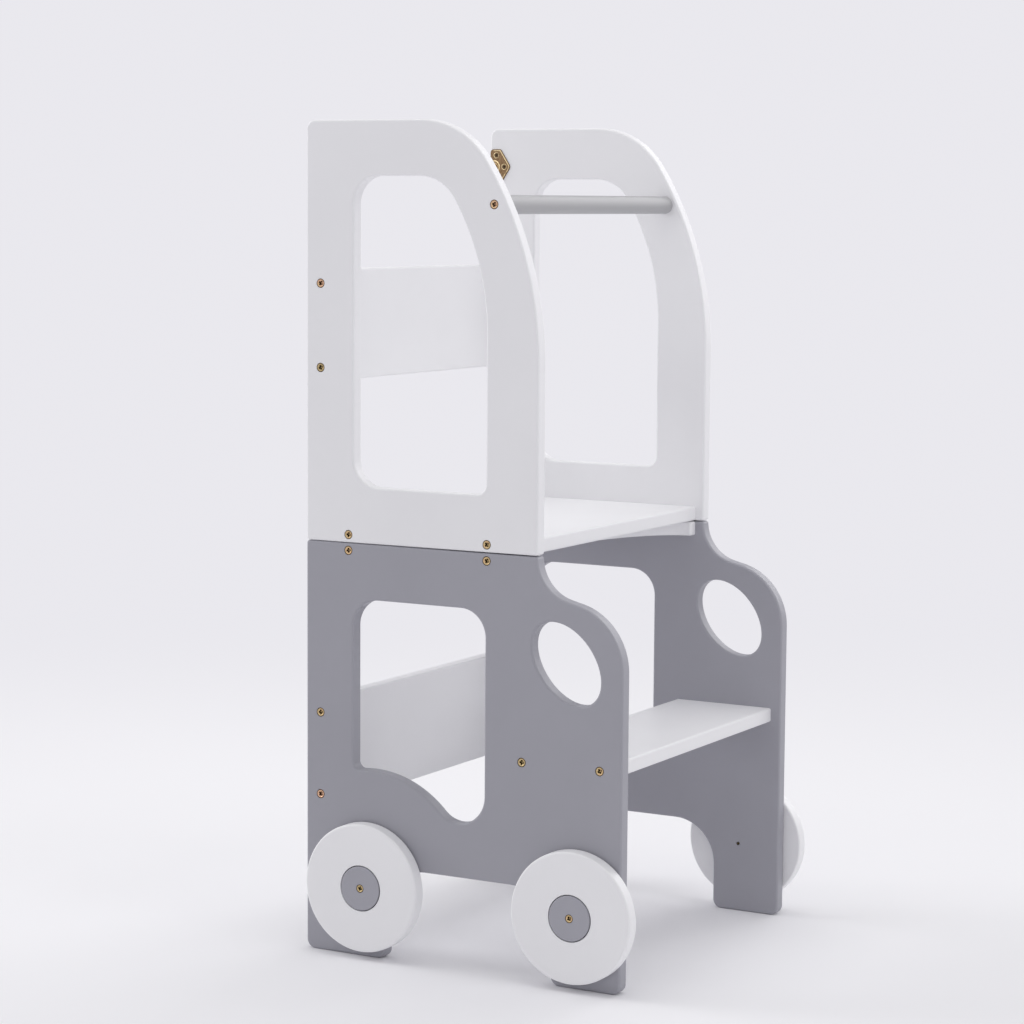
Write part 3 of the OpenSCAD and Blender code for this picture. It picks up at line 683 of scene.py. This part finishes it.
def cross_boards():
    """Platform, step and back boards, and the table board with its hollow."""
    profile = rounded_wall(BOARD_T, EDGE_R)
    flat = [("platform", "upper_frame"), ("step_board", "lower_frame")]
    for name, body in flat:
        lo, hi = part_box(name)
        parts = place(slab([plain_loop(lo.y, hi.y)], BOARD_T, profile), (0, 0, lo.z))
        piece(name, parts, body, "white_board", WHITE)
    upright = [("upper_back_board", "upper_frame"), ("lower_back_board", "lower_frame")]
    for name, body in upright:
        lo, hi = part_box(name)
        parts = slab([plain_loop(lo.z, hi.z)], BOARD_T, profile)
        parts = place(parts, (0, lo.y, 0), X, Z, Y)
        piece(name, parts, body, "white_board", WHITE)
    lo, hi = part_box("table_board")
    parts = place(slab([hollow_loop(lo.y, hi.y)], BOARD_T, profile), (0, 0, lo.z))
    piece("table_board", parts, "lower_frame", "white_board", WHITE)


def grab_rail():
    """Round rail between the panels, its ends eased, so that a thin dark line rings them."""
    ease = 1.1 * mm
    r = (rail_hi.z - rail_lo.z) / 2
    rows = lathe_rows([
        (0, -INNER_X), (r - ease, -INNER_X), (r, -INNER_X + ease), (r, INNER_X - ease),
        (r - ease, INNER_X), (0, INNER_X)
    ])
    parts = outwards([turned(rows, ROUND_ANGLES)], 1, 0, *RAIL)
    piece("grab_rail", parts, "upper_frame", "grey_rail", RAIL_GREY)


# Wheels and hubs, drawn from the panel's outer face outwards

# Air behind a wheel, the hub's seat in it and how far the hub stands out of it
WHEEL_GAP = 1.2 * mm
WELL_DEPTH = 8 * mm
HUB_PROUD = 0.6 * mm
# The hub's face, its spigot and the head of its screw
HUB_FACE = WHEEL_GAP + BOARD_T + HUB_PROUD
SPIGOT_R = 10 * mm
HUB_HEAD = 9 * mm


def wheel_rows(t):
    """Wheel from its bore round the back, the rounded outer edge and the hub's well."""
    r = 70 * mm
    back_r = 2 * mm
    lip = 0.6 * mm
    well_r = 25 * mm
    bore_r = SPIGOT_R + 0.05 * mm
    well = t - WELL_DEPTH
    return np.vstack([
        lathe_rows([(bore_r, well), (bore_r, 0), (r - back_r, 0)]),
        arc([r - back_r, back_r], back_r, -90, 0),
        arc([r - EDGE_R, t - EDGE_R], EDGE_R, 0, 90),
        lathe_rows([(r - EDGE_R, t), (well_r + lip, t)]),
        arc([well_r + lip, t - lip], lip, 90, 180),
        lathe_rows([(well_r, t - lip), (well_r, well), (bore_r, well)])
    ])


def hub_rows():
    """Hub: spigot and cap, with the screw's countersunk hole."""
    cap_r = 24 * mm
    play = 0.3 * mm
    top = HUB_FACE
    low = WHEEL_GAP + BOARD_T - WELL_DEPTH + play
    edge_r = 1 * mm
    head_r = HUB_HEAD / 2 + 0.1 * mm
    sink = 0.7 * mm
    cone = 2.5 * mm
    return np.vstack([
        lathe_rows([(HUB_HOLE_R, 0), (SPIGOT_R, 0), (SPIGOT_R, low), (cap_r, low),
                    (cap_r, top - edge_r)]),
        arc([cap_r - edge_r, top - edge_r], edge_r, 0, 90),
        lathe_rows([(cap_r - edge_r, top), (head_r, top), (head_r, top - sink),
                    (HUB_HOLE_R, top - sink - cone), (HUB_HOLE_R, 0)])
    ])


def wheels_and_hubs():
    """Four wheels and their hubs, turned about the axles."""
    wheel = [turned(wheel_rows(BOARD_T) + [0, WHEEL_GAP, 0, 0], ROUND_ANGLES)]
    hub = [turned(hub_rows(), ROUND_ANGLES)]
    for word, side in SIDES:
        for end, depth in (("front_", FRONT_AXLE), ("rear_", REAR_AXLE)):
            name = end + word + "_wheel"
            parts = outwards(wheel, side, OUTER_X, depth, WHEEL_Z)
            piece(name, parts, name, "white_wheel", LIGHTENED_WHEEL_WHITE)
            parts = outwards(hub, side, OUTER_X, depth, WHEEL_Z)
            piece(end + word + "_hub", parts, "lower_frame", "grey_hub", LIGHTENED_HUB_GREY)


# Screws, drawn with the face that they sit in at w = 0 and their point along -w

# How far every head sits below its face
HEAD_SINK = 0.25 * mm


def cross_angles(arm, half):
    """Angles that hit every corner of a cross of that arm length and half width."""
    shares = np.array([0, 0.3, 0.62, 1.0])
    corner = np.arctan2(half, arm)
    one = np.concatenate([corner * shares[:-1], corner + (np.pi / 4 - corner) * shares])
    quarter = np.concatenate([one, np.pi / 2 - one[::-1][1:-1]])
    return np.concatenate([quarter + turn for turn in np.arange(4) * np.pi / 2])


def cross_radius(angles, arm, half):
    """Distance from the middle to a cross's edge: the farther end of the two bars."""
    tiny = 1e-9
    c = np.maximum(np.abs(np.cos(angles)), tiny)
    s = np.maximum(np.abs(np.sin(angles)), tiny)
    return np.maximum(np.minimum(arm / c, half / s), np.minimum(half / c, arm / s))


def faceted(part):
    """The same surface with a corner's normal that of its face, on the side of the old one."""
    points, guide, edge, faces = part
    tiny = 1e-30
    q = points[faces]
    normal = np.cross(q[:, 2] - q[:, 0], q[:, 3] - q[:, 1])
    way = np.sign((normal * guide[faces].sum(axis=1)).sum(axis=1))
    normal *= way[:, None] / np.maximum(np.linalg.norm(normal, axis=1), tiny)[:, None]
    order = np.arange(4 * len(faces)).reshape(-1, 4)
    normals = np.repeat(np.where(way[:, None] == 0, [0, 0, 1.0], normal), 4, axis=0)
    return q.reshape(-1, 3), normals, edge[faces].reshape(-1), order


def screw_parts(length, d, head_d, tip, deep=0.26, painted_light=0.35, painted_centre_light=1.0):
    """Countersunk screw: a turned head and shank, an outer rim in painted shade, a dished face with
    painted light, and a cross recess in painted shade whose rows shrink from the cross's edge to a
    share of it at the bottom and to a point in the middle. The recess is deep times the head's
    width.
    The edge value is painted_light on the face, a painted highlight where above zero and painted
    shade where below, and painted_centre_light at the point, a painted glint where above zero."""
    floor_share = 0.75
    painted_rim_shade = -0.8
    head_r = head_d / 2
    arm = 0.28 * head_d
    half = 0.085 * head_d
    rim = 0.5 * mm
    ease = 0.03 * head_d
    face_r = 0.41 * head_d
    dish_r = 0.33 * head_d
    dish = 0.05 * head_d
    depth = deep * head_d
    rise = head_r - d / 2
    angles = cross_angles(arm, half)
    shank = lathe_rows(
        [(0, -length), (d / 2, tip - length), (d / 2, -rim - rise), (head_r, -rim)],
        [(head_r, -rim), (head_r, -ease)]
    )
    outer = lathe_rows([(head_r, -ease), (head_r - ease, 0)], [(head_r - ease, 0), (face_r, 0)])
    face = lathe_rows([(face_r, 0), (dish_r, -0.2 * dish)], [(dish_r, -0.2 * dish), (arm, -dish)])
    # The outer rim carries painted shade, the face painted light
    parts = [with_painted_light(turned(shank, angles), 0), with_painted_light(turned(outer, angles), painted_rim_shade),
             with_painted_light(turned(face, angles), painted_light)]
    out = np.stack([np.cos(angles), np.sin(angles)], axis=1)
    reach = cross_radius(angles, arm, half)[:, None] * out
    levels = [(arm * out, -dish), (reach, -dish), (floor_share * reach, -depth),
              (0 * reach, -depth - dish)]
    points = np.stack([np.column_stack([flat, np.full(len(flat), w)]) for flat, w in levels])
    up = np.broadcast_to([0.0, 0.0, 1.0], points.shape)
    # Edge values of the recess rows: the face's painted light, painted shade down the walls and on
    # the floor, and the centre's painted light
    painted_light_levels = np.array([painted_light, -0.9, -1.0, painted_centre_light])[:, None]
    parts.append(faceted(grid(points, up, painted_light_levels, True)))
    return [(p + [0, 0, -HEAD_SINK], n, e, f) for p, n, e, f in parts]


def spun(parts, turn):
    """Surfaces turned about w by so many degrees, as each screw ended at its own angle."""
    c = np.cos(np.radians(turn))
    s = np.sin(np.radians(turn))
    return place(parts, (0, 0, 0), (c, s, 0), (-s, c, 0))


def side_screws(name, body, places, turns):
    """One screw at each place on both sides."""
    one = screw_parts(length=50 * mm, d=5 * mm, head_d=9.8 * mm, tip=8 * mm)
    parts = []
    for side in (-1, 1):
        for (depth, height), turn in zip(places, turns):
            parts += outwards(spun(one, turn), side, OUTER_X, depth, height)
    piece(name, parts, body, "zinc_screw", ZINC)


def wood_screws():
    """The side screws of every board and of the rail, and the hubs' screws."""
    side_screws("rail_screws", "upper_frame", UPPER_SCREWS[:1], [20])
    side_screws("upper_back_screws", "upper_frame", UPPER_SCREWS[1:3], [70, 35])
    side_screws("platform_screws", "upper_frame", UPPER_SCREWS[3:], [10, 50])
    side_screws("table_screws", "lower_frame", LOWER_SCREWS[:2], [80, 30])
    side_screws("step_screws", "lower_frame", LOWER_SCREWS[2:4], [5, 62])
    side_screws("lower_back_screws", "lower_frame", LOWER_SCREWS[4:], [40, 85])
    face = OUTER_X + HUB_FACE
    one = screw_parts(length=35.3 * mm, d=4 * mm, head_d=HUB_HEAD, tip=5 * mm)
    parts = []
    for side in (-1, 1):
        for depth, turn in ((FRONT_AXLE, 55), (REAR_AXLE, 15)):
            parts += outwards(spun(one, turn), side, face, depth, WHEEL_Z)
    piece("wheel_screws", parts, "lower_frame", "zinc_screw", ZINC)


# Desk latches on the panels' inner faces, drawn in depth, height and distance from the face

# Heights of the keeper, of the fold's axis and of the hook's pivot
CATCH_Z = TOP_Z - 44.5 * mm
HINGE_Z = LOWER_H + SPLIT_GAP / 2
HOOK_Z = 2 * HINGE_Z - CATCH_Z
# The plate's thickness, its outline from its rear edge to its tip, and its screws
PLATE_T = 1 * mm
LATCH_EDGE = 0.5 * mm
LATCH_FLAT = 14.5 * mm
LATCH_REACH = 28 * mm
LATCH_HALF = 20.5 * mm
LATCH_SCREWS = [(8.5 * mm, -13.5 * mm), (8.5 * mm, 13.5 * mm), (19 * mm, 0)]
LATCH_HOLE_R = 3.3 * mm
# Undersides of the keeper's and rivet's heads and of the hook, above the panel's face
HEAD_LIFT = 3.7 * mm
HOOK_LIFT = 1.8 * mm
HOOK_T = 1.6 * mm
PIVOT = (8 * mm, 0)
RIVET_R = 2 * mm


def on_inside(parts, side, height):
    """Latch surfaces put on a panel's inner face at a height."""
    return place(parts, (side * INNER_X, REAR_Y, height), (0, -1, 0), Z, (-side, 0, 0))


def fillet(corner, before, after, r):
    """The arc of radius r that rounds a convex corner between two straight edges, walked with
    the material on the left."""
    corner = np.asarray(corner)
    back = np.subtract(before, corner) / np.linalg.norm(np.subtract(before, corner))
    ahead = np.subtract(after, corner) / np.linalg.norm(np.subtract(after, corner))
    middle = (back + ahead) / np.linalg.norm(back + ahead)
    half = np.arccos(np.clip(back @ middle, -1, 1))
    centre = corner + middle * r / np.sin(half)
    start = np.degrees(np.arctan2(*(corner + back * r / np.tan(half) - centre)[::-1]))
    turn = 180 - 2 * np.degrees(half)
    return arc(centre, r, start, start + turn)


def latch_arcs():
    """The rounded corners of half a hexagon whose straight side lies at the rear edge."""
    corners = [(LATCH_EDGE, -LATCH_HALF), (LATCH_FLAT, -LATCH_HALF), (LATCH_REACH, 0),
               (LATCH_FLAT, LATCH_HALF), (LATCH_EDGE, LATCH_HALF)]
    radii = [4 * mm, 3.5 * mm, 5.5 * mm, 3.5 * mm, 4 * mm]
    around = zip(corners, corners[-1:] + corners[:-1], corners[1:] + corners[:1], radii)
    return [fillet(corner, before, after, r) for corner, before, after, r in around]


def bead(rows, inset, a, b, level, polish_and_highlight):
    """A raised rim along a path: an ellipse (a cos t, b sin t) carried along the rows at an
    inset, shrinking to a point at both ends. polish_and_highlight is its edge value from start to
    end, which on metal lowers the roughness and paints a highlight."""
    taper = 1.5 * mm
    run = np.concatenate([[0], np.cumsum(np.linalg.norm(np.diff(rows[:, :2], axis=0), axis=1))])
    near_end = np.minimum(run, run[-1] - run) / taper
    size = np.sqrt(1 - (1 - np.clip(near_end, 0, 1)) ** 2)[None, :, None]
    t = np.linspace(0, 2 * np.pi, 17)[:, None, None]
    out = rows[None, :, 2:4]
    flat = rows[None, :, :2] + out * (a * np.cos(t) * size - inset)
    height = level + b * np.sin(t) * size
    points = np.concatenate([flat, height], axis=2)
    side = b * np.cos(t)
    up = a * np.sin(t)
    size = np.hypot(side, up)
    normals = np.concatenate([out * side / size, np.broadcast_to(up / size, height.shape)], axis=2)
    painted_light_levels = np.interp(run / run[-1], np.linspace(0, 1, len(polish_and_highlight)), polish_and_highlight)
    return grid(points, normals, painted_light_levels, False)


def latch_path():
    """Closely spaced rows along the top, the two slanted sides and the lower edge."""
    stride = 0.4 * mm
    arcs = latch_arcs()
    rows = np.vstack([arcs[0][-1:], *arcs[1:-1], arcs[-1][:1]])
    parts = []
    for start, end in zip(rows[:-1], rows[1:]):
        n = max(2, int(np.linalg.norm(end[:2] - start[:2]) / stride))
        parts.append(start + (end - start) * np.linspace(0, 1, n)[:-1, None])
    return np.vstack(parts + [rows[-1:]])


def latch_plate(bores):
    """Cast plate whose side carries painted shade, a raised rim with a painted highlight that is
    brightest on the lower slant, and a ring of painted highlight round each screw."""
    profile = rounded_wall(PLATE_T, 0.3 * mm)
    seat = (2.9 * mm, PLATE_T - 0.25 * mm)
    sunk = lathe_rows([(LATCH_HOLE_R, PLATE_T), seat], [seat, (1.6 * mm, 0)])
    holes = [(p, sunk) for p in LATCH_SCREWS] + bores
    parts = slab([closed_loop(*latch_arcs())], PLATE_T, profile, holes)
    # Painted shade on the plate's side wall
    parts[0] = with_painted_light(parts[0], -0.55)
    # The rim's painted highlight, stronger on some slants than on others
    parts.append(bead(latch_path(), inset=1.45 * mm, a=0.65 * mm, b=0.6 * mm, level=PLATE_T,
                      polish_and_highlight=[0.3, 0.3, 0.35, 0.9, 0.9, 0.6]))
    # A ring of painted highlight round each screw hole
    ring_rows = arc([LATCH_HOLE_R, PLATE_T], 0.35 * mm, -90, 270)
    parts += [with_painted_light(turned(ring_rows, FINE_ANGLES, p), 0.6) for p in LATCH_SCREWS]
    return parts


def dome(r, low, rise):
    """Rows of a low domed head: a wall of a third of the rise, then a quarter of an ellipse
    (r cos t, b sin t), whose normal is (b cos t, r sin t)."""
    t = np.linspace(0, np.pi / 2, 9)
    wall_h = rise / 3
    b = rise - wall_h
    side = b * np.cos(t)
    up = r * np.sin(t)
    size = np.hypot(side, up)
    curve = np.stack([r * np.cos(t), low + wall_h + b * np.sin(t), side / size, up / size], axis=1)
    return np.vstack([lathe_rows([(r, low), (r, low + wall_h)]), curve])


def keeper():
    """A ring with a painted highlight on the plate, an arc that ends at the plate's rear edge, and
    in it a low boss and a neck with a domed head that the hook slides behind, all with a painted
    highlight."""
    centre = (5.5 * mm, 0)
    neck_r = 2.5 * mm
    head_r = 4.4 * mm
    ring_r = 7 * mm
    sweep = 126
    neck = lathe_rows([(0, 0), (neck_r, 0), (neck_r, HEAD_LIFT), (head_r, HEAD_LIFT)])
    boss = dome(r=5.2 * mm, low=PLATE_T, rise=0.75 * mm)
    head = dome(r=head_r, low=HEAD_LIFT, rise=1.9 * mm)
    # The ring, boss, neck and head carry painted highlights
    return [
        bead(arc(centre, ring_r, -sweep, sweep), inset=0, a=0.95 * mm, b=0.75 * mm,
             level=PLATE_T, polish_and_highlight=[0.9, 0.9]),
        with_painted_light(turned(boss, FINE_ANGLES, centre), 0.7),
        with_painted_light(turned(neck, FINE_ANGLES, centre), 0.8),
        with_painted_light(turned(head, FINE_ANGLES, centre), 0.8)
    ]


def rivet():
    """Shank through plate and hook, with a domed head."""
    head = 4 * mm
    rows = np.vstack([lathe_rows([(0, 0), (RIVET_R, 0), (RIVET_R, HEAD_LIFT), (head, HEAD_LIFT)]),
                      dome(head, HEAD_LIFT, 1.5 * mm)])
    return [turned(rows, FINE_ANGLES, PIVOT)]


def spoke(r, angle):
    """The point at a distance and an angle in degrees from the pivot."""
    return r * np.array([np.cos(np.radians(angle)), np.sin(np.radians(angle))])


def hook_loop():
    """Hook round its pivot, pointing along +u: eye, web, jaw with its slot, thumb tab."""
    eye = 6 * mm
    throw = 20.1 * mm
    slot = 2.8 * mm
    reach = 25.9 * mm
    lead = -14
    web = 16
    tab = 3.2 * mm
    tab_at = throw + slot
    meet = (reach ** 2 + tab_at ** 2 - tab ** 2) / (2 * reach * tab_at)
    tab_angle = web - np.degrees(np.arccos(meet))
    off = spoke(reach, tab_angle) - spoke(tab_at, web)
    tab_start = np.degrees(np.arctan2(off[1], off[0]))
    return closed_loop(
        arc([0, 0], eye, web, 360 + lead), line(spoke(eye, lead), spoke(throw - slot, lead)),
        arc([0, 0], throw - slot, lead, 0), arc([throw, 0], slot, 180, 0),
        arc([0, 0], throw + slot, 0, lead), line(spoke(throw + slot, lead), spoke(reach, lead)),
        arc([0, 0], reach, lead, tab_angle), arc(spoke(tab_at, web), tab, tab_start, 180 + web),
        line(spoke(tab_at - tab, web), spoke(eye, web))
    )


def latches():
    """Catch plates above, hook plates, rivets and hooks below, and the plates' screws."""
    snug_r = RIVET_R + 0.02 * mm
    loose_r = RIVET_R + 0.05 * mm
    catch = latch_plate([]) + keeper()
    lower = latch_plate([(PIVOT, lathe_rows([(snug_r, PLATE_T), (snug_r, 0)]))])
    hook = slab([hook_loop()], HOOK_T, rounded_wall(HOOK_T, 0.35 * mm),
                [((0, 0), lathe_rows([(loose_r, HOOK_T), (loose_r, 0)]))])
    hook = place(hook, (PIVOT[0], 0, HOOK_LIFT), (0, -1, 0), (-1, 0, 0))
    screw = screw_parts(length=12 * mm, d=2.8 * mm, head_d=5.6 * mm, tip=3 * mm,
                        deep=0.08, painted_light=-0.6, painted_centre_light=-1.0)
    for word, side in SIDES:
        piece(word + "_catch_plate", on_inside(catch, side, CATCH_Z), "upper_frame",
              "brass_hardware", BRASS)
        piece(word + "_hook_plate", on_inside(lower, side, HOOK_Z), "lower_frame",
              "brass_hardware", BRASS)
        piece(word + "_hook_rivet", on_inside(rivet(), side, HOOK_Z), "lower_frame",
              "brass_hardware", BRASS)
        name = word + "_catch_hook"
        piece(name, on_inside(hook, side, HOOK_Z), name, "brass_hardware", BRASS)
    for name, body, height in (("catch_plate_screws", "upper_frame", CATCH_Z),
                               ("hook_plate_screws", "lower_frame", HOOK_Z)):
        parts = []
        for side in (-1, 1):
            for (u, v), turn in zip(LATCH_SCREWS, (25, 60, 5)):
                seated = place(spun(screw, turn), (u, v, PLATE_T))
                parts += on_inside(seated, side, height)
        piece(name, parts, body, "brass_hardware", BRASS)


# Fold hinges at the rear, drawn along the axis, upwards and away from the boards' rear edges

# A hinge's middle, half its length and half its middle knuckle
HINGE_X = INNER_X - 79 * mm
HINGE_END = 25 * mm
KNUCKLE = 8.5 * mm
# The pin's distance from the boards' edges, the leaves, and the play between knuckles
STAND = 3.3 * mm
LEAF_T = 1.5 * mm
LEAF_H = 15 * mm
PLAY = 0.3 * mm
PIN_R = 1.5 * mm
HINGE_SCREW_X = 16 * mm
HINGE_SCREW_Z = BOARD_T / 2 + SPLIT_GAP / 2


def leaf_loop(up):
    """A leaf's outline with its notches for the other leaf's knuckles, drawn for the upper
    leaf and turned over for the lower one."""
    r = 1.5 * mm
    notch = 2.9 * mm
    end = HINGE_END
    top = LEAF_H
    if up > 0:
        foot = [line((-KNUCKLE, notch), (-KNUCKLE, 0)), line((-KNUCKLE, 0), (KNUCKLE, 0)),
                line((KNUCKLE, 0), (KNUCKLE, notch)), line((KNUCKLE, notch), (end, notch)),
                line((end, notch), (end, top - r))]
        start = (-end, notch)
        last = line(start, (-KNUCKLE, notch))
    else:
        gap = KNUCKLE + PLAY
        foot = [line((-gap, 0), (-gap, notch)), line((-gap, notch), (gap, notch)),
                line((gap, notch), (gap, 0)), line((gap, 0), (end, 0)),
                line((end, 0), (end, top - r))]
        start = (-end, 0)
        last = line(start, (-gap, 0))
    return closed_loop(last, *foot, arc([end - r, top - r], r, 0, 90),
                       arc([-end + r, top - r], r, 90, 180), line((-end, top - r), start))


def knuckle(x0, x1, bore):
    """A rolled knuckle round the pin, its ends slightly eased."""
    ease = 0.25 * mm
    r = 3 * mm
    rows = lathe_rows([(bore, x0), (r - ease, x0), (r, x0 + ease), (r, x1 - ease),
                       (r - ease, x1), (bore, x1), (bore, x0)])
    return place([turned(rows, FINE_ANGLES)], (0, 0, STAND), Y, Z, X)


def hinge_leaf(up):
    """A leaf with its knuckles, one in the middle on the upper leaf, two on the lower one."""
    head_r = 2.9 * mm
    sunk = lathe_rows([(head_r, LEAF_T), (head_r, LEAF_T - 0.7 * mm), (1.95 * mm, 0)])
    bores = [((x, HINGE_SCREW_Z), sunk) for x in (-HINGE_SCREW_X, HINGE_SCREW_X)]
    parts = slab([leaf_loop(up)], LEAF_T, rounded_wall(LEAF_T, 0.3 * mm), bores)
    if up > 0:
        return parts + knuckle(-KNUCKLE, KNUCKLE, PIN_R + 0.05 * mm)
    gap = KNUCKLE + PLAY
    bore = PIN_R + 0.02 * mm
    return parts + knuckle(-HINGE_END, -gap, bore) + knuckle(gap, HINGE_END, bore)


def hinge_pin():
    """Pin through the knuckles, domed at both ends."""
    cap_r = 2.2 * mm
    end = HINGE_END
    cap_rows = dome(cap_r, 0, 0.8 * mm)
    rows = np.vstack([
        cap_rows[::-1] * [1, -1, 1, -1] - [0, end, 0, 0],
        lathe_rows([(cap_r, -end), (PIN_R, -end), (PIN_R, end), (cap_r, end)]),
        cap_rows + [0, end, 0, 0]
    ])
    return place([turned(rows, FINE_ANGLES)], (0, 0, STAND), Y, Z, X)


def hinge_screws():
    """A leaf's two screws."""
    one = screw_parts(length=14 * mm, d=3 * mm, head_d=5.6 * mm, tip=3 * mm, deep=0.12)
    parts = []
    for x, turn in ((-HINGE_SCREW_X, 30), (HINGE_SCREW_X, 75)):
        parts += place(spun(one, turn), (x, HINGE_SCREW_Z, LEAF_T))
    return parts


def hinges():
    """Two butt hinges with leaves, pins and screws."""
    halves = [(1, "upper", "upper_frame"), (-1, "lower", "lower_frame")]
    screws = {1: [], -1: []}
    for word, side in SIDES:
        at = (side * HINGE_X, REAR_Y, HINGE_Z)
        for up, half, body in halves:
            parts = place(hinge_leaf(up), at, X, (0, 0, up), Y)
            piece(word + "_hinge_" + half + "_leaf", parts, body, "brass_hardware", BRASS)
            screws[up] += place(hinge_screws(), at, X, (0, 0, up), Y)
        piece(word + "_hinge_pin", place(hinge_pin(), at, X, Z, Y), "lower_frame",
              "brass_hardware", BRASS)
    for up, half, body in halves:
        piece("hinge_" + half + "_screws", screws[up], body, "brass_hardware", BRASS)


def washers():
    """Felt washers behind the wheels, slightly rounded."""
    thick = 0.9 * mm
    ease = 0.25 * mm
    r = 17 * mm
    bore = SPIGOT_R + 0.1 * mm
    rows = lathe_rows([(bore, 0), (r, 0), (r, thick - ease), (r - ease, thick), (bore, thick),
                       (bore, 0)])
    parts = []
    for side in (-1, 1):
        for depth in (FRONT_AXLE, REAR_AXLE):
            parts += outwards([turned(rows, FINE_ANGLES)], side, OUTER_X, depth, WHEEL_Z)
    piece("wheel_washers", parts, "lower_frame", "felt", FELT)


side_panels()
cross_boards()
grab_rail()
wheels_and_hubs()
wood_screws()
latches()
hinges()
washers()


# Floor, light and camera

FLOOR_COLOUR = (0.93, 0.925, 0.95, 1)
FAR_COLOUR = (0.82, 0.812, 0.855, 1)
SKY_COLOUR = (0.985, 0.98, 1.0, 1)
AMBIENT = 0.5
# The point that the lamps look at
LIT_POINT = (0, 0, 0.4)


def floor_material():
    """Pale floor that keeps the shadow near the object and runs into the pale background."""
    made = bpy.data.materials.new("pale_floor")
    add, link = node_tools(made)
    where = add("ShaderNodeTexCoord").outputs["Object"]
    length = add("ShaderNodeVectorMath", operation="LENGTH")
    link(where, length.inputs[0])
    far = ranged(add, link, length.outputs["Value"], interpolation_type="SMOOTHSTEP",
                 in_From_Min=0.8, in_From_Max=2.6)
    matt = add("ShaderNodeBsdfDiffuse", in_Color=FLOOR_COLOUR)
    glow = add("ShaderNodeEmission", in_Color=FAR_COLOUR, in_Strength=1.0)
    out = add("ShaderNodeOutputMaterial")
    link(mixed_shader(add, link, far, matt.outputs[0], glow.outputs[0]), out.inputs["Surface"])
    return made


def floor():
    """A flat disc as floor, staged."""
    reach = 40.0
    rim = ring((0, 0), reach, np.linspace(0, 2 * np.pi, 64, endpoint=False))
    mesh = bpy.data.meshes.new("floor")
    mesh.from_pydata(np.column_stack([rim, np.zeros(len(rim))]).tolist(), [],
                     [list(range(len(rim)))])
    mesh.materials.append(floor_material())
    made = bpy.data.objects.new("floor", mesh)
    bpy.context.scene.collection.objects.link(made)


def sky():
    """Even pale surroundings: one level for the eye and mirrors, another for light."""
    world = bpy.data.worlds.new("studio")
    bpy.context.scene.world = world
    add, link = node_tools(world)
    rays = add("ShaderNodeLightPath")
    seen = add("ShaderNodeMath", operation="MAXIMUM")
    link(rays.outputs["Is Camera Ray"], seen.inputs[0])
    link(rays.outputs["Is Glossy Ray"], seen.inputs[1])
    light = add("ShaderNodeBackground", in_Color=SKY_COLOUR, in_Strength=AMBIENT)
    shown = add("ShaderNodeBackground", in_Color=FAR_COLOUR)
    out = add("ShaderNodeOutputWorld")
    both = mixed_shader(add, link, seen.outputs[0], light.outputs[0], shown.outputs[0])
    link(both, out.inputs["Surface"])


def softbox(name, at, size, watts):
    """A square area lamp that looks at the object, unseen by the camera itself."""
    data = bpy.data.lights.new(name, "AREA")
    data.shape = "SQUARE"
    data.size = size
    data.energy = watts
    made = bpy.data.objects.new(name, data)
    way = Vector(LIT_POINT) - Vector(at)
    made.rotation_euler = way.to_track_quat("-Z", "Y").to_euler()
    made.location = at
    made.visible_camera = False
    bpy.context.scene.collection.objects.link(made)


def camera():
    """The photograph's camera, solved from the straight edges that it shows."""
    yaw = np.radians(60.5805)
    pitch = np.radians(6.1535)
    roll = np.radians(0.39686)
    at = np.array([-2.80312, -1.52026, 0.81684])
    forward = np.array([np.sin(yaw) * np.cos(pitch), np.cos(yaw) * np.cos(pitch),
                        -np.sin(pitch)])
    right = np.array([np.cos(yaw), -np.sin(yaw), 0])
    up = np.cross(right, forward)
    across = np.cos(roll) * right + np.sin(roll) * up
    upward = np.cos(roll) * up - np.sin(roll) * right
    data = bpy.data.cameras.new("camera")
    data.sensor_width = 36.0
    data.lens = 101.79
    made = bpy.data.objects.new("camera", data)
    turn = np.column_stack([across, upward, -forward])
    made.matrix_world = Matrix.Translation(at) @ Matrix(turn.tolist()).to_4x4()
    bpy.context.scene.collection.objects.link(made)
    bpy.context.scene.camera = made


floor()
sky()
softbox("top", at=(0, 0, 2.9), size=2.4, watts=21)
softbox("front", at=(-0.5, -5.5, 3), size=3, watts=42)
softbox("rear", at=(-1, 5.5, 2.5), size=3, watts=122)
softbox("far_side", at=(6, -1, 2.5), size=4, watts=108)
camera()
bpy.context.scene.view_settings.view_transform = "Standard"
